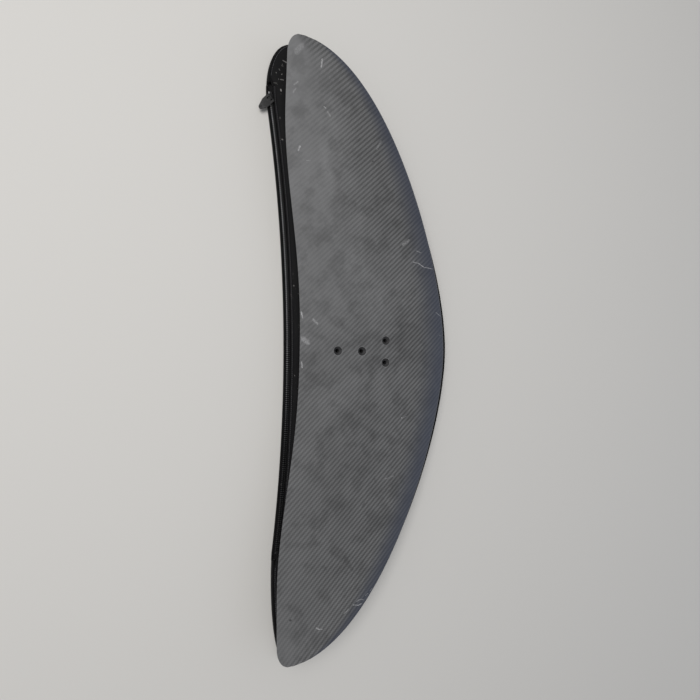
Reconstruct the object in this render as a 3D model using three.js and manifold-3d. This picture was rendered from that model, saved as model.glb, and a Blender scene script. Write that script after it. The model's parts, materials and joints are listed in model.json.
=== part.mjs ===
// Hydrofoil front wing lying on its padded zip cover.
// Millimetres, +Z up. The origin is on the cover's flat underside, below the middle of the
// wing's root chord. +X points to the leading edge, +Y along the span. The wing lies upside
// down: its screw face looks up and its lifting face lies on the cover.
import * as THREE from 'three';
import { mergeVertices } from 'three/addons/utils/BufferGeometryUtils.js';
import Module from 'manifold-3d';

const wasm = await Module();
wasm.setup();

// ---- clearances ----
const gap = 0.3;                  // between pieces that touch

// ---- wing, outside ----
const halfSpan = 485;
const rootLeading = 132.4;        // leading edge ahead of the origin, at the root
const rootTrailing = -132.4;      // trailing edge behind the origin, at the root
const noseHandle = 164.5;         // how far the leading edge runs straight out along the span
const tipHandle = 7.6;            // where the leading edge's second handle stands, in X
const tipX = -147;
const sweepBack = 32.9;           // how far the trailing edge steps back towards the tips
const sweepSpan = 387;            // where that step is complete
const tipCorner = { length: 28, depth: 18, power: 2 };   // rounding of the tip's rear corner
const thicknessRoot = 0.095;      // thickness over chord
const thicknessTip = 0.078;
const edgeThickness = 1.6;        // blunt leading and trailing edges
const flatFrom = 0.3;             // chord fraction from which the screw face is flat
const noseDrop = 0.035;           // leading edge below the screw face, over chord
const seatHalfWidth = 45;         // half width of the level middle of the wing
const tipRise = 28;               // tips above the middle as it lies

// ---- wing, inside ----
const skin = 1.2;
const blockFront = 62;            // mount block ends, in X
const blockRear = -104;
const blockHalfWidth = 40;
const coreFrom = 0.065;           // foam core, as chord fractions
const coreTo = 0.8;
const nosePackFrom = 0.012;
const tailPackTo = 0.93;
const packGap = 0.004;            // core to packing, as a chord fraction
const tipBlockLength = 65;        // solid tip, measured from the end of the span
const tipBlockEnd = 11;           // and where its own end stops short
const capFront = 0.22;            // spar caps, as chord fractions
const capRear = 0.46;
const capThickness = 0.9;
const capShort = 20;              // spar caps end this far before the tip blocks

// ---- screw holes ----
const holeRadius = 3.3;           // M6 with clearance
const sinkRadius = 7;             // countersink mouth
const holes = [[-68.6, 0], [-26.2, 0], [16.7, 18.7], [16.7, -18.7]];

// ---- cover ----
const coverTurn = THREE.MathUtils.degToRad(0.89);   // the cover lies slightly turned
const coverMargin = 23;           // cover past the wing's tip
const coverFrontMargin = 16;      // cover past the leading edge at the root
const coverHandle = 1.05;         // its front runs out this much further along the span
const coverTipHandle = 8;         // and its second handle stands this far ahead, in X
const coverLean = 1.5;            // its front stands further out on the slider's side
const coverTipReach = 16;         // cover past the wing's tip, in X
const topCorner = { length: 107, depth: 58, power: 2 };     // rounding at the slider's end
const endCorner = { length: 178, depth: 43, power: 1.5 };   // and at the other end
const bindingWidth = 1.5;
const shellFabric = 0.8;
const bottomFoam = 3.4;
const topFoam = 2.9;
const liningFabric = 0.4;
const pocketHeight = 1.2;         // between the two linings, where the zip tapes lie

// ---- zip ----
const zipRadius = 2900;           // the zip follows an arc about a far centre
const zipX = -145.2;              // the zip's middle line at the root
const zipTopMargin = 88;          // cover's end to the first tooth, at the closed slider
const zipEndMargin = 178;         // last tooth to the cover's other end
const zipToEdge = 7;              // middle line to the cover's edge
const panelToZip = 9;             // middle line to the panels' edges
const zipSlit = 0.6;              // half the slit between the tooth rows
const toothRow = 2;               // width of one row
const toothHeight = 2.4;
const tapeThickness = 0.6;
const tapeWidth = 10;
const stopLength = 3;

// ---- slider and pull tab ----
const sliderLength = 14;
const sliderHalfWidth = 4.4;
const plateThickness = 1;
const wedgeHalfWidth = 0.3;
const wedgeLength = 3;
const bridgeLength = 8;
const bridgeWidth = 2.2;
const bridgeBar = 0.9;
const bridgeOpening = 2.2;
const tabLength = 28;
const tabWidth = 15;
const tabShoulder = 13;           // from here the tab narrows to its tip
const tabTipRadius = 4;
const tabThickness = 1.2;
const tabHeading = THREE.MathUtils.degToRad(228);
const tabTilt = THREE.MathUtils.degToRad(3.5);
const tabSlotLength = 5.5;
const tabSlotWidth = 8;
const tabEyeRadius = 1.6;

// ---- places along the wing ----
const tipBlockStart = halfSpan - tipBlockLength;
const capEnd = tipBlockStart - capShort;

// ---- places along the cover ----
const coverHalf = halfSpan + coverMargin;
const zipTop = coverHalf - zipTopMargin;
const zipEnd = zipEndMargin - coverHalf;

// ---- heights in the cover ----
const bottomFoamZ = shellFabric + gap;
const bottomLiningZ = bottomFoamZ + bottomFoam + gap;
const pocketZ = bottomLiningZ + liningFabric;
const topLiningZ = pocketZ + pocketHeight;
const topFoamZ = topLiningZ + liningFabric + gap;
const topShellZ = topFoamZ + topFoam + gap;
const coverTop = topShellZ + shellFabric;
const tapeZ = pocketZ + gap;

// ---------------------------------------------------------------- helpers

const smooth = (t) => (1 - Math.cos(Math.PI * THREE.MathUtils.clamp(t, 0, 1))) / 2;

function solid(geometry) {
  const bare = geometry.clone();
  bare.deleteAttribute('normal');
  bare.deleteAttribute('uv');
  const merged = mergeVertices(bare, 1e-4);
  return new wasm.Manifold(new wasm.Mesh({
    numProp: 3,
    vertProperties: new Float32Array(merged.attributes.position.array),
    triVerts: new Uint32Array(merged.index.array),
  }));
}

function fromSolid(manifold) {
  const mesh = manifold.getMesh();
  const geometry = new THREE.BufferGeometry();
  geometry.setAttribute('position', new THREE.BufferAttribute(mesh.vertProperties, 3));
  geometry.setIndex(new THREE.BufferAttribute(mesh.triVerts, 1));
  geometry.computeVertexNormals();
  return geometry;
}

// A closed solid between an upper and a lower surface over a grid of points.
function slab(rows, columns, point) {
  const positions = [];
  const index = [];
  for (const side of [1, 0]) {
    for (let i = 0; i < rows; i++) {
      for (let j = 0; j < columns; j++) positions.push(...point(i, j, side === 1));
    }
  }
  const at = (i, j, low) => (low ? rows * columns : 0) + i * columns + j;
  const quad = (a, b, c, d) => index.push(a, b, c, a, c, d);
  for (let i = 0; i < rows - 1; i++) {
    for (let j = 0; j < columns - 1; j++) {
      quad(at(i, j), at(i + 1, j), at(i + 1, j + 1), at(i, j + 1));
      quad(at(i, j, 1), at(i, j + 1, 1), at(i + 1, j + 1, 1), at(i + 1, j, 1));
    }
    quad(at(i + 1, 0), at(i, 0), at(i, 0, 1), at(i + 1, 0, 1));
    const last = columns - 1;
    quad(at(i, last), at(i + 1, last), at(i + 1, last, 1), at(i, last, 1));
  }
  for (let j = 0; j < columns - 1; j++) {
    quad(at(0, j), at(0, j + 1), at(0, j + 1, 1), at(0, j, 1));
    const last = rows - 1;
    quad(at(last, j + 1), at(last, j), at(last, j, 1), at(last, j + 1, 1));
  }
  const geometry = new THREE.BufferGeometry();
  geometry.setAttribute('position', new THREE.Float32BufferAttribute(positions, 3));
  geometry.setIndex(index);
  geometry.computeVertexNormals();
  return geometry;
}

const piece = (name, geometry, color, roughness, metalness = 0) => {
  const mesh = new THREE.Mesh(geometry, new THREE.MeshStandardMaterial({ color, roughness, metalness }));
  mesh.name = name;
  return mesh;
};

const spread = (from, to, count) => Array.from(
  { length: count + 1 }, (_, k) => from + ((to - from) * k) / count);

// ---------------------------------------------------------------- wing shape

const wingLeadingCurve = new THREE.CubicBezierCurve(
  new THREE.Vector2(rootLeading, 0),
  new THREE.Vector2(rootLeading, noseHandle),
  new THREE.Vector2(tipHandle, halfSpan),
  new THREE.Vector2(tipX, halfSpan),
);

// The X of a half outline's curve at a given distance from the root.
function curveX(curve, distance) {
  let low = 0;
  let high = 1;
  for (let step = 0; step < 40; step++) {
    const middle = (low + high) / 2;
    if (curve.getPoint(middle).y < distance) low = middle;
    else high = middle;
  }
  return curve.getPoint((low + high) / 2).x;
}

// How far an outline's rounded corner comes in, at a distance from the root.
const cornerIn = (distance, end, { length, depth, power }) => {
  const t = THREE.MathUtils.clamp((distance - end + length) / length, 0, 1);
  return depth * (1 - (1 - t ** power) ** (1 / power));
};

const leadingX = (y) => curveX(wingLeadingCurve, Math.abs(y));

const trailingX = (y) => {
  const out = Math.abs(y);
  const stepBack = sweepBack * smooth((out / sweepSpan) ** 1.2);
  return rootTrailing - stepBack + cornerIn(out, halfSpan, tipCorner);
};

const chord = (y) => leadingX(y) - trailingX(y);

const profile = (s) => (0.2969 * Math.sqrt(s) - 0.126 * s - 0.3516 * s ** 2
  + 0.2843 * s ** 3 - 0.1036 * s ** 4) / 0.2;

const halfThickness = (s, y) => {
  const ratio = THREE.MathUtils.lerp(thicknessRoot, thicknessTip, Math.abs(y) / halfSpan);
  return edgeThickness / 2 + profile(s) * ratio * chord(y);
};

const archRise = (y) => {
  const out = Math.max(0, Math.abs(y) - seatHalfWidth);
  return tipRise * (out / (halfSpan - seatHalfWidth)) ** 2;
};

const seatZ = coverTop + gap + 2 * halfThickness(flatFrom, 0);

// Height of the wing's middle surface: the screw face is flat behind flatFrom.
const middleZ = (s, y) => {
  const top = seatZ + archRise(y);
  if (s >= flatFrom) return top - halfThickness(s, y);
  const dip = halfThickness(flatFrom, y);
  return top - dip + (dip - noseDrop * chord(y)) * ((flatFrom - s) / flatFrom) ** 2;
};

// Stations close up towards the rounded tips, and one stands at each end of the level middle.
const tipStation = 0.997;
const wingStations = (() => {
  const reach = halfSpan * tipStation - seatHalfWidth;
  const out = spread(0, Math.PI / 2, 11).slice(1).map((turn) => seatHalfWidth + reach * Math.sin(turn));
  return [...out.map((y) => -y).reverse(), -seatHalfWidth, seatHalfWidth, ...out];
})();
const chordStations = [0, 0.012, 0.05, 0.12, 0.21, flatFrom, 0.45, 0.62, 0.8, 0.93, 1];

// The part of a list between two values, with those values as its ends.
const within = (list, from, to) => [from, ...list.filter((v) => v > from && v < to), to];

// A function over the wing, flat between the stations, so that every piece inside follows the
// same facets as the skins.
function faceted(f) {
  const around = (list, value) => {
    const k = THREE.MathUtils.clamp(list.findIndex((v) => v > value), 1, list.length - 1);
    const last = value >= list.at(-1) ? list.length - 1 : k;
    return [list[last - 1], list[last], (value - list[last - 1]) / (list[last] - list[last - 1])];
  };
  return (s, y) => {
    const [s0, s1, u] = around(chordStations, s);
    const [y0, y1, v] = around(wingStations, y);
    const near = THREE.MathUtils.lerp(f(s0, y0), f(s1, y0), u);
    return THREE.MathUtils.lerp(near, THREE.MathUtils.lerp(f(s0, y1), f(s1, y1), u), v);
  };
}

const skinAt = (s, y) => Math.min(skin, 0.6 * halfThickness(s, y));
const screwFaceZ = faceted((s, y) => middleZ(s, y) + halfThickness(s, y));
const liftFaceZ = faceted((s, y) => middleZ(s, y) - halfThickness(s, y));
const screwSkinLowZ = faceted((s, y) => middleZ(s, y) + halfThickness(s, y) - skinAt(s, y));
const liftSkinTopZ = faceted((s, y) => middleZ(s, y) - halfThickness(s, y) + skinAt(s, y));
const innerTopZ = (s, y) => screwSkinLowZ(s, y) - gap;
const innerLowZ = (s, y) => liftSkinTopZ(s, y) + gap;
const chordX = faceted((s, y) => THREE.MathUtils.lerp(leadingX(y), trailingX(y), s));

// A layer of the wing between two height functions, over a range of chord and of span.
function layer([from, to], [start, end], high, low) {
  const fractions = within(chordStations, from, to);
  const stations = within(wingStations, start, end);
  return slab(stations.length, fractions.length, (i, j, upper) => {
    const y = stations[i];
    const s = fractions[j];
    return [chordX(s, y), y, (upper ? high : low)(s, y)];
  });
}

// ---------------------------------------------------------------- wing pieces

function screwHoleCutter([x, y]) {
  const sinkDepth = sinkRadius - holeRadius;
  const below = coverTop - gap;
  const above = seatZ + sinkRadius;
  const rim = [[0, below], [holeRadius, below], [holeRadius, seatZ - sinkDepth],
    [sinkRadius, seatZ], [sinkRadius, above], [0, above]];
  const cutter = new THREE.LatheGeometry(rim.map(([r, z]) => new THREE.Vector2(r, z)), 20);
  cutter.rotateX(Math.PI / 2);
  cutter.translate(x, y, 0);
  return solid(cutter);
}

const screwHoles = holes.map(screwHoleCutter).reduce((all, hole) => all.add(hole));

const drilled = (geometry) => fromSolid(solid(geometry).subtract(screwHoles));

const wholeChord = [0, 1];
const wholeSpan = [wingStations[0], wingStations.at(-1)];
const screwFaceSkin = () => drilled(layer(wholeChord, wholeSpan, screwFaceZ, screwSkinLowZ));
const liftFaceSkin = () => drilled(layer(wholeChord, wholeSpan, liftSkinTopZ, liftFaceZ));

// Spar caps lie against the inside of each skin, from one half of the wing to the other.
const capChord = [capFront, capRear];
const capSpan = [-capEnd, capEnd];
const capUnder = (depth) => (s, y) => innerTopZ(s, y) - depth;
const capOver = (depth) => (s, y) => innerLowZ(s, y) + depth;
const screwSideCap = () => drilled(layer(capChord, capSpan, innerTopZ, capUnder(capThickness)));
const liftSideCap = () => drilled(layer(capChord, capSpan, capOver(capThickness), innerLowZ));

// What a spar cap needs cut from the piece it lies in, with a gap on every side.
const capRoom = (() => {
  const side = (2 * gap) / chord(capEnd);
  const chordRange = [capFront - side, capRear + side];
  const spanRange = [-capEnd - gap, capEnd + gap];
  const past = 2 * gap;
  const top = layer(chordRange, spanRange, capUnder(-past), capUnder(capThickness + gap));
  const low = layer(chordRange, spanRange, capOver(capThickness + gap), capOver(-past));
  return solid(top).add(solid(low));
})();

// The middle block of solid laminate, across the level middle of the wing.
function mountBlock() {
  const fractionOf = (x) => (leadingX(seatHalfWidth) - x) / chord(seatHalfWidth);
  const range = [fractionOf(blockFront), fractionOf(blockRear)];
  const block = layer(range, [-blockHalfWidth, blockHalfWidth], innerTopZ, innerLowZ);
  return fromSolid(solid(block).subtract(capRoom).subtract(screwHoles));
}

// Room for the mount block in the cores and packing that surround it.
function blockRoom() {
  const length = blockFront - blockRear + 4 * gap;
  const box = new THREE.BoxGeometry(length, 2 * (blockHalfWidth + gap), 4 * seatZ);
  box.translate((blockFront + blockRear) / 2, 0, 0);
  return solid(box);
}

const sideSpan = (side, from, to) => (side > 0 ? [from, to] : [-to, -from]);

// A foam core for one side, from the middle of the wing to the solid tip.
function core(side) {
  const range = sideSpan(side, gap / 2, tipBlockStart - gap);
  const body = solid(layer([coreFrom, coreTo], range, innerTopZ, innerLowZ));
  return fromSolid(body.subtract(capRoom).subtract(blockRoom()));
}

// Solid packing in the nose or the tail of the section, along one side.
function edgePack(side, chordRange) {
  const range = sideSpan(side, gap / 2, tipBlockStart - gap);
  return fromSolid(solid(layer(chordRange, range, innerTopZ, innerLowZ)).subtract(blockRoom()));
}

const tipBlock = (side) => layer(
  [nosePackFrom, tailPackTo], sideSpan(side, tipBlockStart, halfSpan - tipBlockEnd),
  innerTopZ, innerLowZ);

// ---------------------------------------------------------------- cover outline

const coverLeadingCurve = new THREE.CubicBezierCurve(
  new THREE.Vector2(rootLeading + coverFrontMargin, 0),
  new THREE.Vector2(rootLeading + coverFrontMargin, noseHandle * coverHandle),
  new THREE.Vector2(tipHandle + coverTipHandle, coverHalf),
  new THREE.Vector2(tipX + coverTipReach, coverHalf),
);

const zipArc = (y) => Math.sqrt(zipRadius ** 2 - y ** 2) - zipRadius;
const cornerAt = (y) => (y > 0 ? topCorner : endCorner);
const coverRearX = (y) => zipX - zipToEdge + zipArc(y) + cornerIn(Math.abs(y), coverHalf, cornerAt(y));

// The panels' rear edge stands back from the zip, and reaches the binding past its ends.
const stepLength = 2 * panelToZip;
const panelRearX = (y) => {
  const past = Math.max(y - zipTop - sliderLength, zipEnd - 2 * stopLength - y);
  return zipX + zipArc(y) + panelToZip - (panelToZip + zipToEdge) * smooth(past / stepLength);
};

// Rear outline stations: close together round the corners and where the panels step back.
const rearStations = (() => {
  const cornerStart = ({ length }) => coverHalf - length;
  const round = (corner) => spread(0, Math.PI / 2, 8).map(
    (turn) => cornerStart(corner) + corner.length * Math.sin(turn));
  const straight = spread(-cornerStart(endCorner), cornerStart(topCorner), 14).slice(1, -1);
  const steps = spread(0, stepLength, 3);
  const ends = [
    ...steps.map((t) => zipTop + sliderLength + t),
    ...steps.map((t) => zipEnd - 2 * stopLength - t),
  ];
  const all = [...round(topCorner), ...round(endCorner).map((y) => -y), ...straight, ...ends];
  return all.sort((a, b) => b - a).filter((y, k, list) => k === 0 || list[k - 1] - y > 1);
})();

// The cover's outline, front then rear, as points in order.
const coverFront = (() => {
  const half = coverLeadingCurve.getPoints(18).slice(0, -1).map((p) => [p.x, p.y]);
  const both = [...half.slice(1).map(([x, y]) => [x, -y]).reverse(), ...half];
  return both.map(([x, y]) => [x + coverLean * Math.sin(Math.PI * y / coverHalf), y]);
})();
const coverOutline = [...coverFront, ...rearStations.map((y) => [coverRearX(y), y])];

// An outline moved inwards by a distance, point by point along its normals.
function insetOutline(points, distance) {
  const unit = (a, b) => new THREE.Vector2(b[0] - a[0], b[1] - a[1]).normalize();
  return points.map((here, k) => {
    const before = unit(points.at(k - 1), here);
    const after = unit(here, points[(k + 1) % points.length]);
    const inward = new THREE.Vector2(-before.y - after.y, before.x + after.x).normalize();
    const stretch = distance / Math.max(0.5, inward.dot(new THREE.Vector2(-before.y, before.x)));
    return [here[0] + inward.x * stretch, here[1] + inward.y * stretch];
  });
}

const shapeOf = (points) => new THREE.Shape(points.map(([x, y]) => new THREE.Vector2(x, y)));
const innerOutline = insetOutline(coverOutline, bindingWidth + gap);

function plate(shape, z, thickness, curveSegments = 6) {
  const settings = { depth: thickness, bevelEnabled: false, curveSegments };
  return new THREE.ExtrudeGeometry(shape, settings).translate(0, 0, z);
}

const bottomShell = () => plate(shapeOf(innerOutline), 0, shellFabric);

function panelSheet(z, thickness) {
  const points = innerOutline.map(([x, y], k) => [k < coverFront.length ? x : Math.max(x, panelRearX(y)), y]);
  return plate(shapeOf(points), z, thickness);
}

// The binding closes the panels' edges all round, in two lengths that meet past the zip's ends.
// Along the zip it only covers the lower tape's edge.
function binding(front) {
  const ring = shapeOf(coverOutline);
  ring.holes.push(shapeOf(insetOutline(coverOutline, bindingWidth)));
  const height = front ? topShellZ - gap : tapeZ + tapeThickness - gap;
  const whole = solid(plate(ring, gap, height));
  const apart = front ? 0 : gap;
  const depth = 8 * zipToEdge;
  const rear = new THREE.BoxGeometry(depth, zipTop - zipEnd + 4 * sliderLength - 2 * apart, 4 * coverTop);
  rear.translate(coverRearX(0) + zipArc(zipTop) / 2, (zipTop + zipEnd) / 2, 0);
  return fromSolid(front ? whole.subtract(solid(rear)) : whole.intersect(solid(rear)));
}

// ---------------------------------------------------------------- zip

// A strip that follows the zip's arc, between two offsets from its middle line.
function zipStrip(from, to, low, high, z, thickness, steps = 40) {
  const angle = (y) => Math.asin(y / zipRadius);
  const arc = (offset) => spread(angle(low), angle(high), steps).map((turn) => new THREE.Vector2(
    zipX - zipRadius + (zipRadius + offset) * Math.cos(turn),
    (zipRadius + offset) * Math.sin(turn),
  ));
  return plate(new THREE.Shape([...arc(from), ...arc(to).reverse()]), z, thickness);
}

const rowOuter = zipSlit + toothRow;
const sliderY = zipTop - sliderLength / 2;

// A tape reaches from its row of teeth to the panels above it, or to the binding.
const tape = (side) => {
  const inner = rowOuter + gap;
  const [from, to] = side > 0 ? [inner, tapeWidth] : [-tapeWidth, -inner];
  const strip = zipStrip(from, to, zipEnd - 2 * stopLength, zipTop + 2 * stopLength, tapeZ, tapeThickness);
  const inside = plate(shapeOf(innerOutline), 0, coverTop);
  return fromSolid(solid(strip).intersect(solid(inside)));
};

const teeth = (side) => {
  const [from, to] = side > 0 ? [zipSlit, rowOuter] : [-rowOuter, -zipSlit];
  return zipStrip(from, to, zipEnd, zipTop, tapeZ, toothHeight);
};

// A stop is a small bar across both rows, beyond the last tooth.
const stop = (from) => zipStrip(-rowOuter, rowOuter, from, from + stopLength, tapeZ, toothHeight, 1);

const tapeTop = tapeZ + tapeThickness;
const rowTop = tapeZ + toothHeight;
const upperPlateZ = rowTop + gap;
const lowerPlateZ = tapeZ - 2 * gap - plateThickness;
const bridgeZ = upperPlateZ + plateThickness;

function roundedBar(width, length, corner) {
  const w = width / 2;
  const l = length / 2;
  const shape = new THREE.Shape();
  shape.moveTo(-w + corner, -l);
  shape.lineTo(w - corner, -l).absarc(w - corner, -l + corner, corner, -Math.PI / 2, 0);
  shape.lineTo(w, l - corner).absarc(w - corner, l - corner, corner, 0, Math.PI / 2);
  shape.lineTo(-w + corner, l).absarc(-w + corner, l - corner, corner, Math.PI / 2, Math.PI);
  shape.lineTo(-w, -l + corner).absarc(-w + corner, -l + corner, corner, Math.PI, Math.PI * 1.5);
  return shape;
}

// The slider: two plates round the tooth rows, joined by the wedge that parts them.
function sliderBody() {
  const outline = roundedBar(2 * sliderHalfWidth, sliderLength, sliderHalfWidth / 2);
  const level = (z, thickness) => plate(outline, z, thickness, 3);
  const bar = (x, w, l, z0, z1) => new THREE.BoxGeometry(w, l, z1 - z0).translate(x, 0, (z0 + z1) / 2);
  const bite = 0.2;
  const flangeWidth = sliderHalfWidth - rowOuter - 2 * gap;
  const flangeX = sliderHalfWidth - flangeWidth / 2;
  const flangeLength = sliderLength - sliderHalfWidth;
  const parts = [
    level(upperPlateZ, plateThickness),
    level(lowerPlateZ, plateThickness),
    bar(0, 2 * wedgeHalfWidth, wedgeLength, lowerPlateZ + bite, upperPlateZ + bite),
    bar(flangeX - gap, flangeWidth, flangeLength, tapeTop + gap, upperPlateZ + bite),
    bar(gap - flangeX, flangeWidth, flangeLength, tapeTop + gap, upperPlateZ + bite),
  ];
  const arch = new THREE.Shape();
  const half = bridgeLength / 2;
  const height = bridgeOpening + bridgeBar;
  arch.moveTo(-half, -bite).lineTo(-half, height - bridgeBar);
  arch.lineTo(-half + bridgeBar, height).lineTo(half - bridgeBar, height);
  arch.lineTo(half, height - bridgeBar).lineTo(half, -bite).lineTo(half - bridgeBar, -bite);
  arch.lineTo(half - bridgeBar, bridgeOpening).lineTo(-half + bridgeBar, bridgeOpening);
  arch.lineTo(-half + bridgeBar, -bite);
  const bridge = new THREE.ExtrudeGeometry(arch, { depth: bridgeWidth, bevelEnabled: false });
  bridge.translate(0, 0, -bridgeWidth / 2).rotateX(Math.PI / 2).rotateZ(Math.PI / 2);
  bridge.translate(0, 0, bridgeZ);
  return fromSolid([...parts, bridge].map(solid).reduce((all, part) => all.add(part)));
}

// The pull tab: a flat tab whose end bar passes under the slider's bridge.
function pullTab() {
  const shape = new THREE.Shape();
  const w = tabWidth / 2;
  const start = -tabThickness / 2;
  const tipCentre = start + tabLength - tabTipRadius;
  const tipTurn = Math.PI / 3;
  shape.moveTo(start, -w + 1).lineTo(start + 1, -w).lineTo(tabShoulder, -w);
  shape.absarc(tipCentre, 0, tabTipRadius, -tipTurn, tipTurn);
  shape.lineTo(tabShoulder, w).lineTo(start + 1, w).lineTo(start, w - 1);
  const slot = new THREE.Path();
  const from = tabThickness / 2;
  slot.moveTo(from, -tabSlotWidth / 2).lineTo(from, tabSlotWidth / 2);
  slot.lineTo(from + tabSlotLength, tabSlotWidth / 2).lineTo(from + tabSlotLength, -tabSlotWidth / 2);
  const eye = new THREE.Path().absarc(tipCentre, 0, tabEyeRadius, 0, Math.PI * 2, true);
  shape.holes.push(slot, eye);
  return plate(shape, -tabThickness / 2, tabThickness);
}

// ---------------------------------------------------------------- assembly

const carbon = 0x5c5e62;
const laminate = 0x2c2c2e;
const foam = 0xd9cfae;
const nylon = 0x18181b;
const liningGrey = 0x34343a;

const wing = new THREE.Group();
wing.add(
  piece('screw_face_skin', screwFaceSkin(), carbon, 0.5),
  piece('lift_face_skin', liftFaceSkin(), carbon, 0.5),
  piece('mount_block', mountBlock(), laminate, 0.6),
  piece('screw_side_spar_cap', screwSideCap(), laminate, 0.5),
  piece('lift_side_spar_cap', liftSideCap(), laminate, 0.5),
);
for (const [side, label] of [[1, 'port'], [-1, 'starboard']]) {
  wing.add(
    piece(`foam_core_${label}`, core(side), foam, 0.9),
    piece(`nose_packing_${label}`, edgePack(side, [nosePackFrom, coreFrom - packGap]), laminate, 0.6),
    piece(`tail_packing_${label}`, edgePack(side, [coreTo + packGap, tailPackTo]), laminate, 0.6),
    piece(`tip_block_${label}`, tipBlock(side), laminate, 0.6),
  );
}

const cover = new THREE.Group();
cover.rotation.z = coverTurn;
cover.add(
  piece('cover_bottom_shell', bottomShell(), nylon, 0.8),
  piece('cover_bottom_foam', panelSheet(bottomFoamZ, bottomFoam), foam, 0.9),
  piece('cover_bottom_lining', panelSheet(bottomLiningZ, liningFabric), liningGrey, 0.8),
  piece('cover_top_lining', panelSheet(topLiningZ, liningFabric), liningGrey, 0.8),
  piece('cover_top_foam', panelSheet(topFoamZ, topFoam), foam, 0.9),
  piece('cover_top_shell', panelSheet(topShellZ, shellFabric), nylon, 0.8),
  piece('front_binding', binding(true), nylon, 0.7),
  piece('rear_binding', binding(false), nylon, 0.7),
  piece('zip_tape_upper', tape(1), nylon, 0.8),
  piece('zip_tape_lower', tape(-1), nylon, 0.8),
  piece('zip_teeth_upper', teeth(1), nylon, 0.4),
  piece('zip_teeth_lower', teeth(-1), nylon, 0.4),
  piece('zip_top_stop', stop(zipTop + gap), nylon, 0.4),
  piece('zip_end_stop', stop(zipEnd - gap - stopLength), nylon, 0.4),
);

// The slider turns about the zip's far centre, so it is drawn on that centre's radius.
const sliderAngle = Math.asin(sliderY / zipRadius);
const zipCentre = new THREE.Group();
zipCentre.position.x = zipX - zipRadius;
zipCentre.rotation.z = sliderAngle;
const sliderPlace = new THREE.Group();
sliderPlace.position.x = zipRadius;
sliderPlace.add(piece('zip_slider', sliderBody(), 0x2a2a2c, 0.4, 0.6));
zipCentre.add(sliderPlace);
cover.add(zipCentre);

const tabPivot = new THREE.Group();
tabPivot.position.set(0, 0, bridgeZ + bridgeOpening / 2);
tabPivot.rotation.set(0, tabTilt, tabHeading - sliderAngle - coverTurn, 'ZYX');
tabPivot.add(piece('pull_tab', pullTab(), 0x202022, 0.5));
sliderPlace.add(tabPivot);

const assembly = new THREE.Group();
assembly.add(cover, wing);

export default assembly;
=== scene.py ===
# %% [markdown]
# A front wing for a hydrofoil lies, screw face up, on its own padded zip cover. This lesson
# builds its looks round a fixed mechanical model. The wing is two carbon skins bonded at the
# edges over a foam core; the cover is two padded nylon panels closed by a zip. Lengths are
# metres, +X is towards the leading edge, +Y along the span and +Z up.

# %% Load the fixed frame
import json
import math

import bmesh
import bpy
import numpy as np
from mathutils import Matrix, Vector


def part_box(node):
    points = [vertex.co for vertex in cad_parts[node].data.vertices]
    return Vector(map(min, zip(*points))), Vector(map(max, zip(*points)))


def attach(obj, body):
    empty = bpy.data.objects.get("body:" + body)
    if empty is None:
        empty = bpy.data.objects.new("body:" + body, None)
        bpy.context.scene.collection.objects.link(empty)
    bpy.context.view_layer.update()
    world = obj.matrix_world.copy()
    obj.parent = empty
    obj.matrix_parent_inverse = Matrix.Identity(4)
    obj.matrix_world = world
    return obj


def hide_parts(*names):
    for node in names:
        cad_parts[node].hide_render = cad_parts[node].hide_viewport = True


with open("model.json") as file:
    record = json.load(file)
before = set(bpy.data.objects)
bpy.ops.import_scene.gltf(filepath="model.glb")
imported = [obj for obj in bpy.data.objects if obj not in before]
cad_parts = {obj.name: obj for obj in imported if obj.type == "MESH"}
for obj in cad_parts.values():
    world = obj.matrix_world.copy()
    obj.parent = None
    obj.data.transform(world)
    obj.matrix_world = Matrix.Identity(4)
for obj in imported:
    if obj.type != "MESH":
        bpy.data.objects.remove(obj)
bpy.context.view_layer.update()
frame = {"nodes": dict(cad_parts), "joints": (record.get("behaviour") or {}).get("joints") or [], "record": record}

MM = 0.001
scene = bpy.context.scene

# %% [markdown]
# The camera stands beyond the trailing edge, a little over arm's length above the wing, and
# leans about 19 degrees towards the leading edge. It could be moved by hand with its handles;
# a place and two directions keep it exact. The lens is wide, so the near edge looks larger.

# %% Camera
CAMERA_PLACE = (-0.28953, -0.00058, 0.75665)
camera = bpy.data.objects.new("camera", bpy.data.cameras.new("camera"))
camera.data.lens = 23.5
camera.data.sensor_width = 36.0
camera.data.clip_start = 0.05
camera_right = Vector((0.94756, 0.01736, 0.31912)).normalized()
camera_back = Vector((-0.31911, -0.00294, 0.94771)).normalized()
camera_up = camera_back.cross(camera_right)
camera_turn = Matrix((camera_right, camera_up, camera_back)).transposed()
camera.matrix_world = Matrix.Translation(CAMERA_PLACE) @ camera_turn.to_4x4()
scene.collection.objects.link(camera)
scene.camera = camera
print("camera tilt, degrees:", round(math.degrees(math.acos(camera_back.z)), 1))

# %% [markdown]
# Node trees are written as sums. A small class wraps one socket, so that a + b adds a Math
# node. Every other node comes from one method of the tree's builder, which is handed the
# node's settings first and then the values or links of its sockets. The same two serve for
# materials and for Geometry Nodes.

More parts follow.
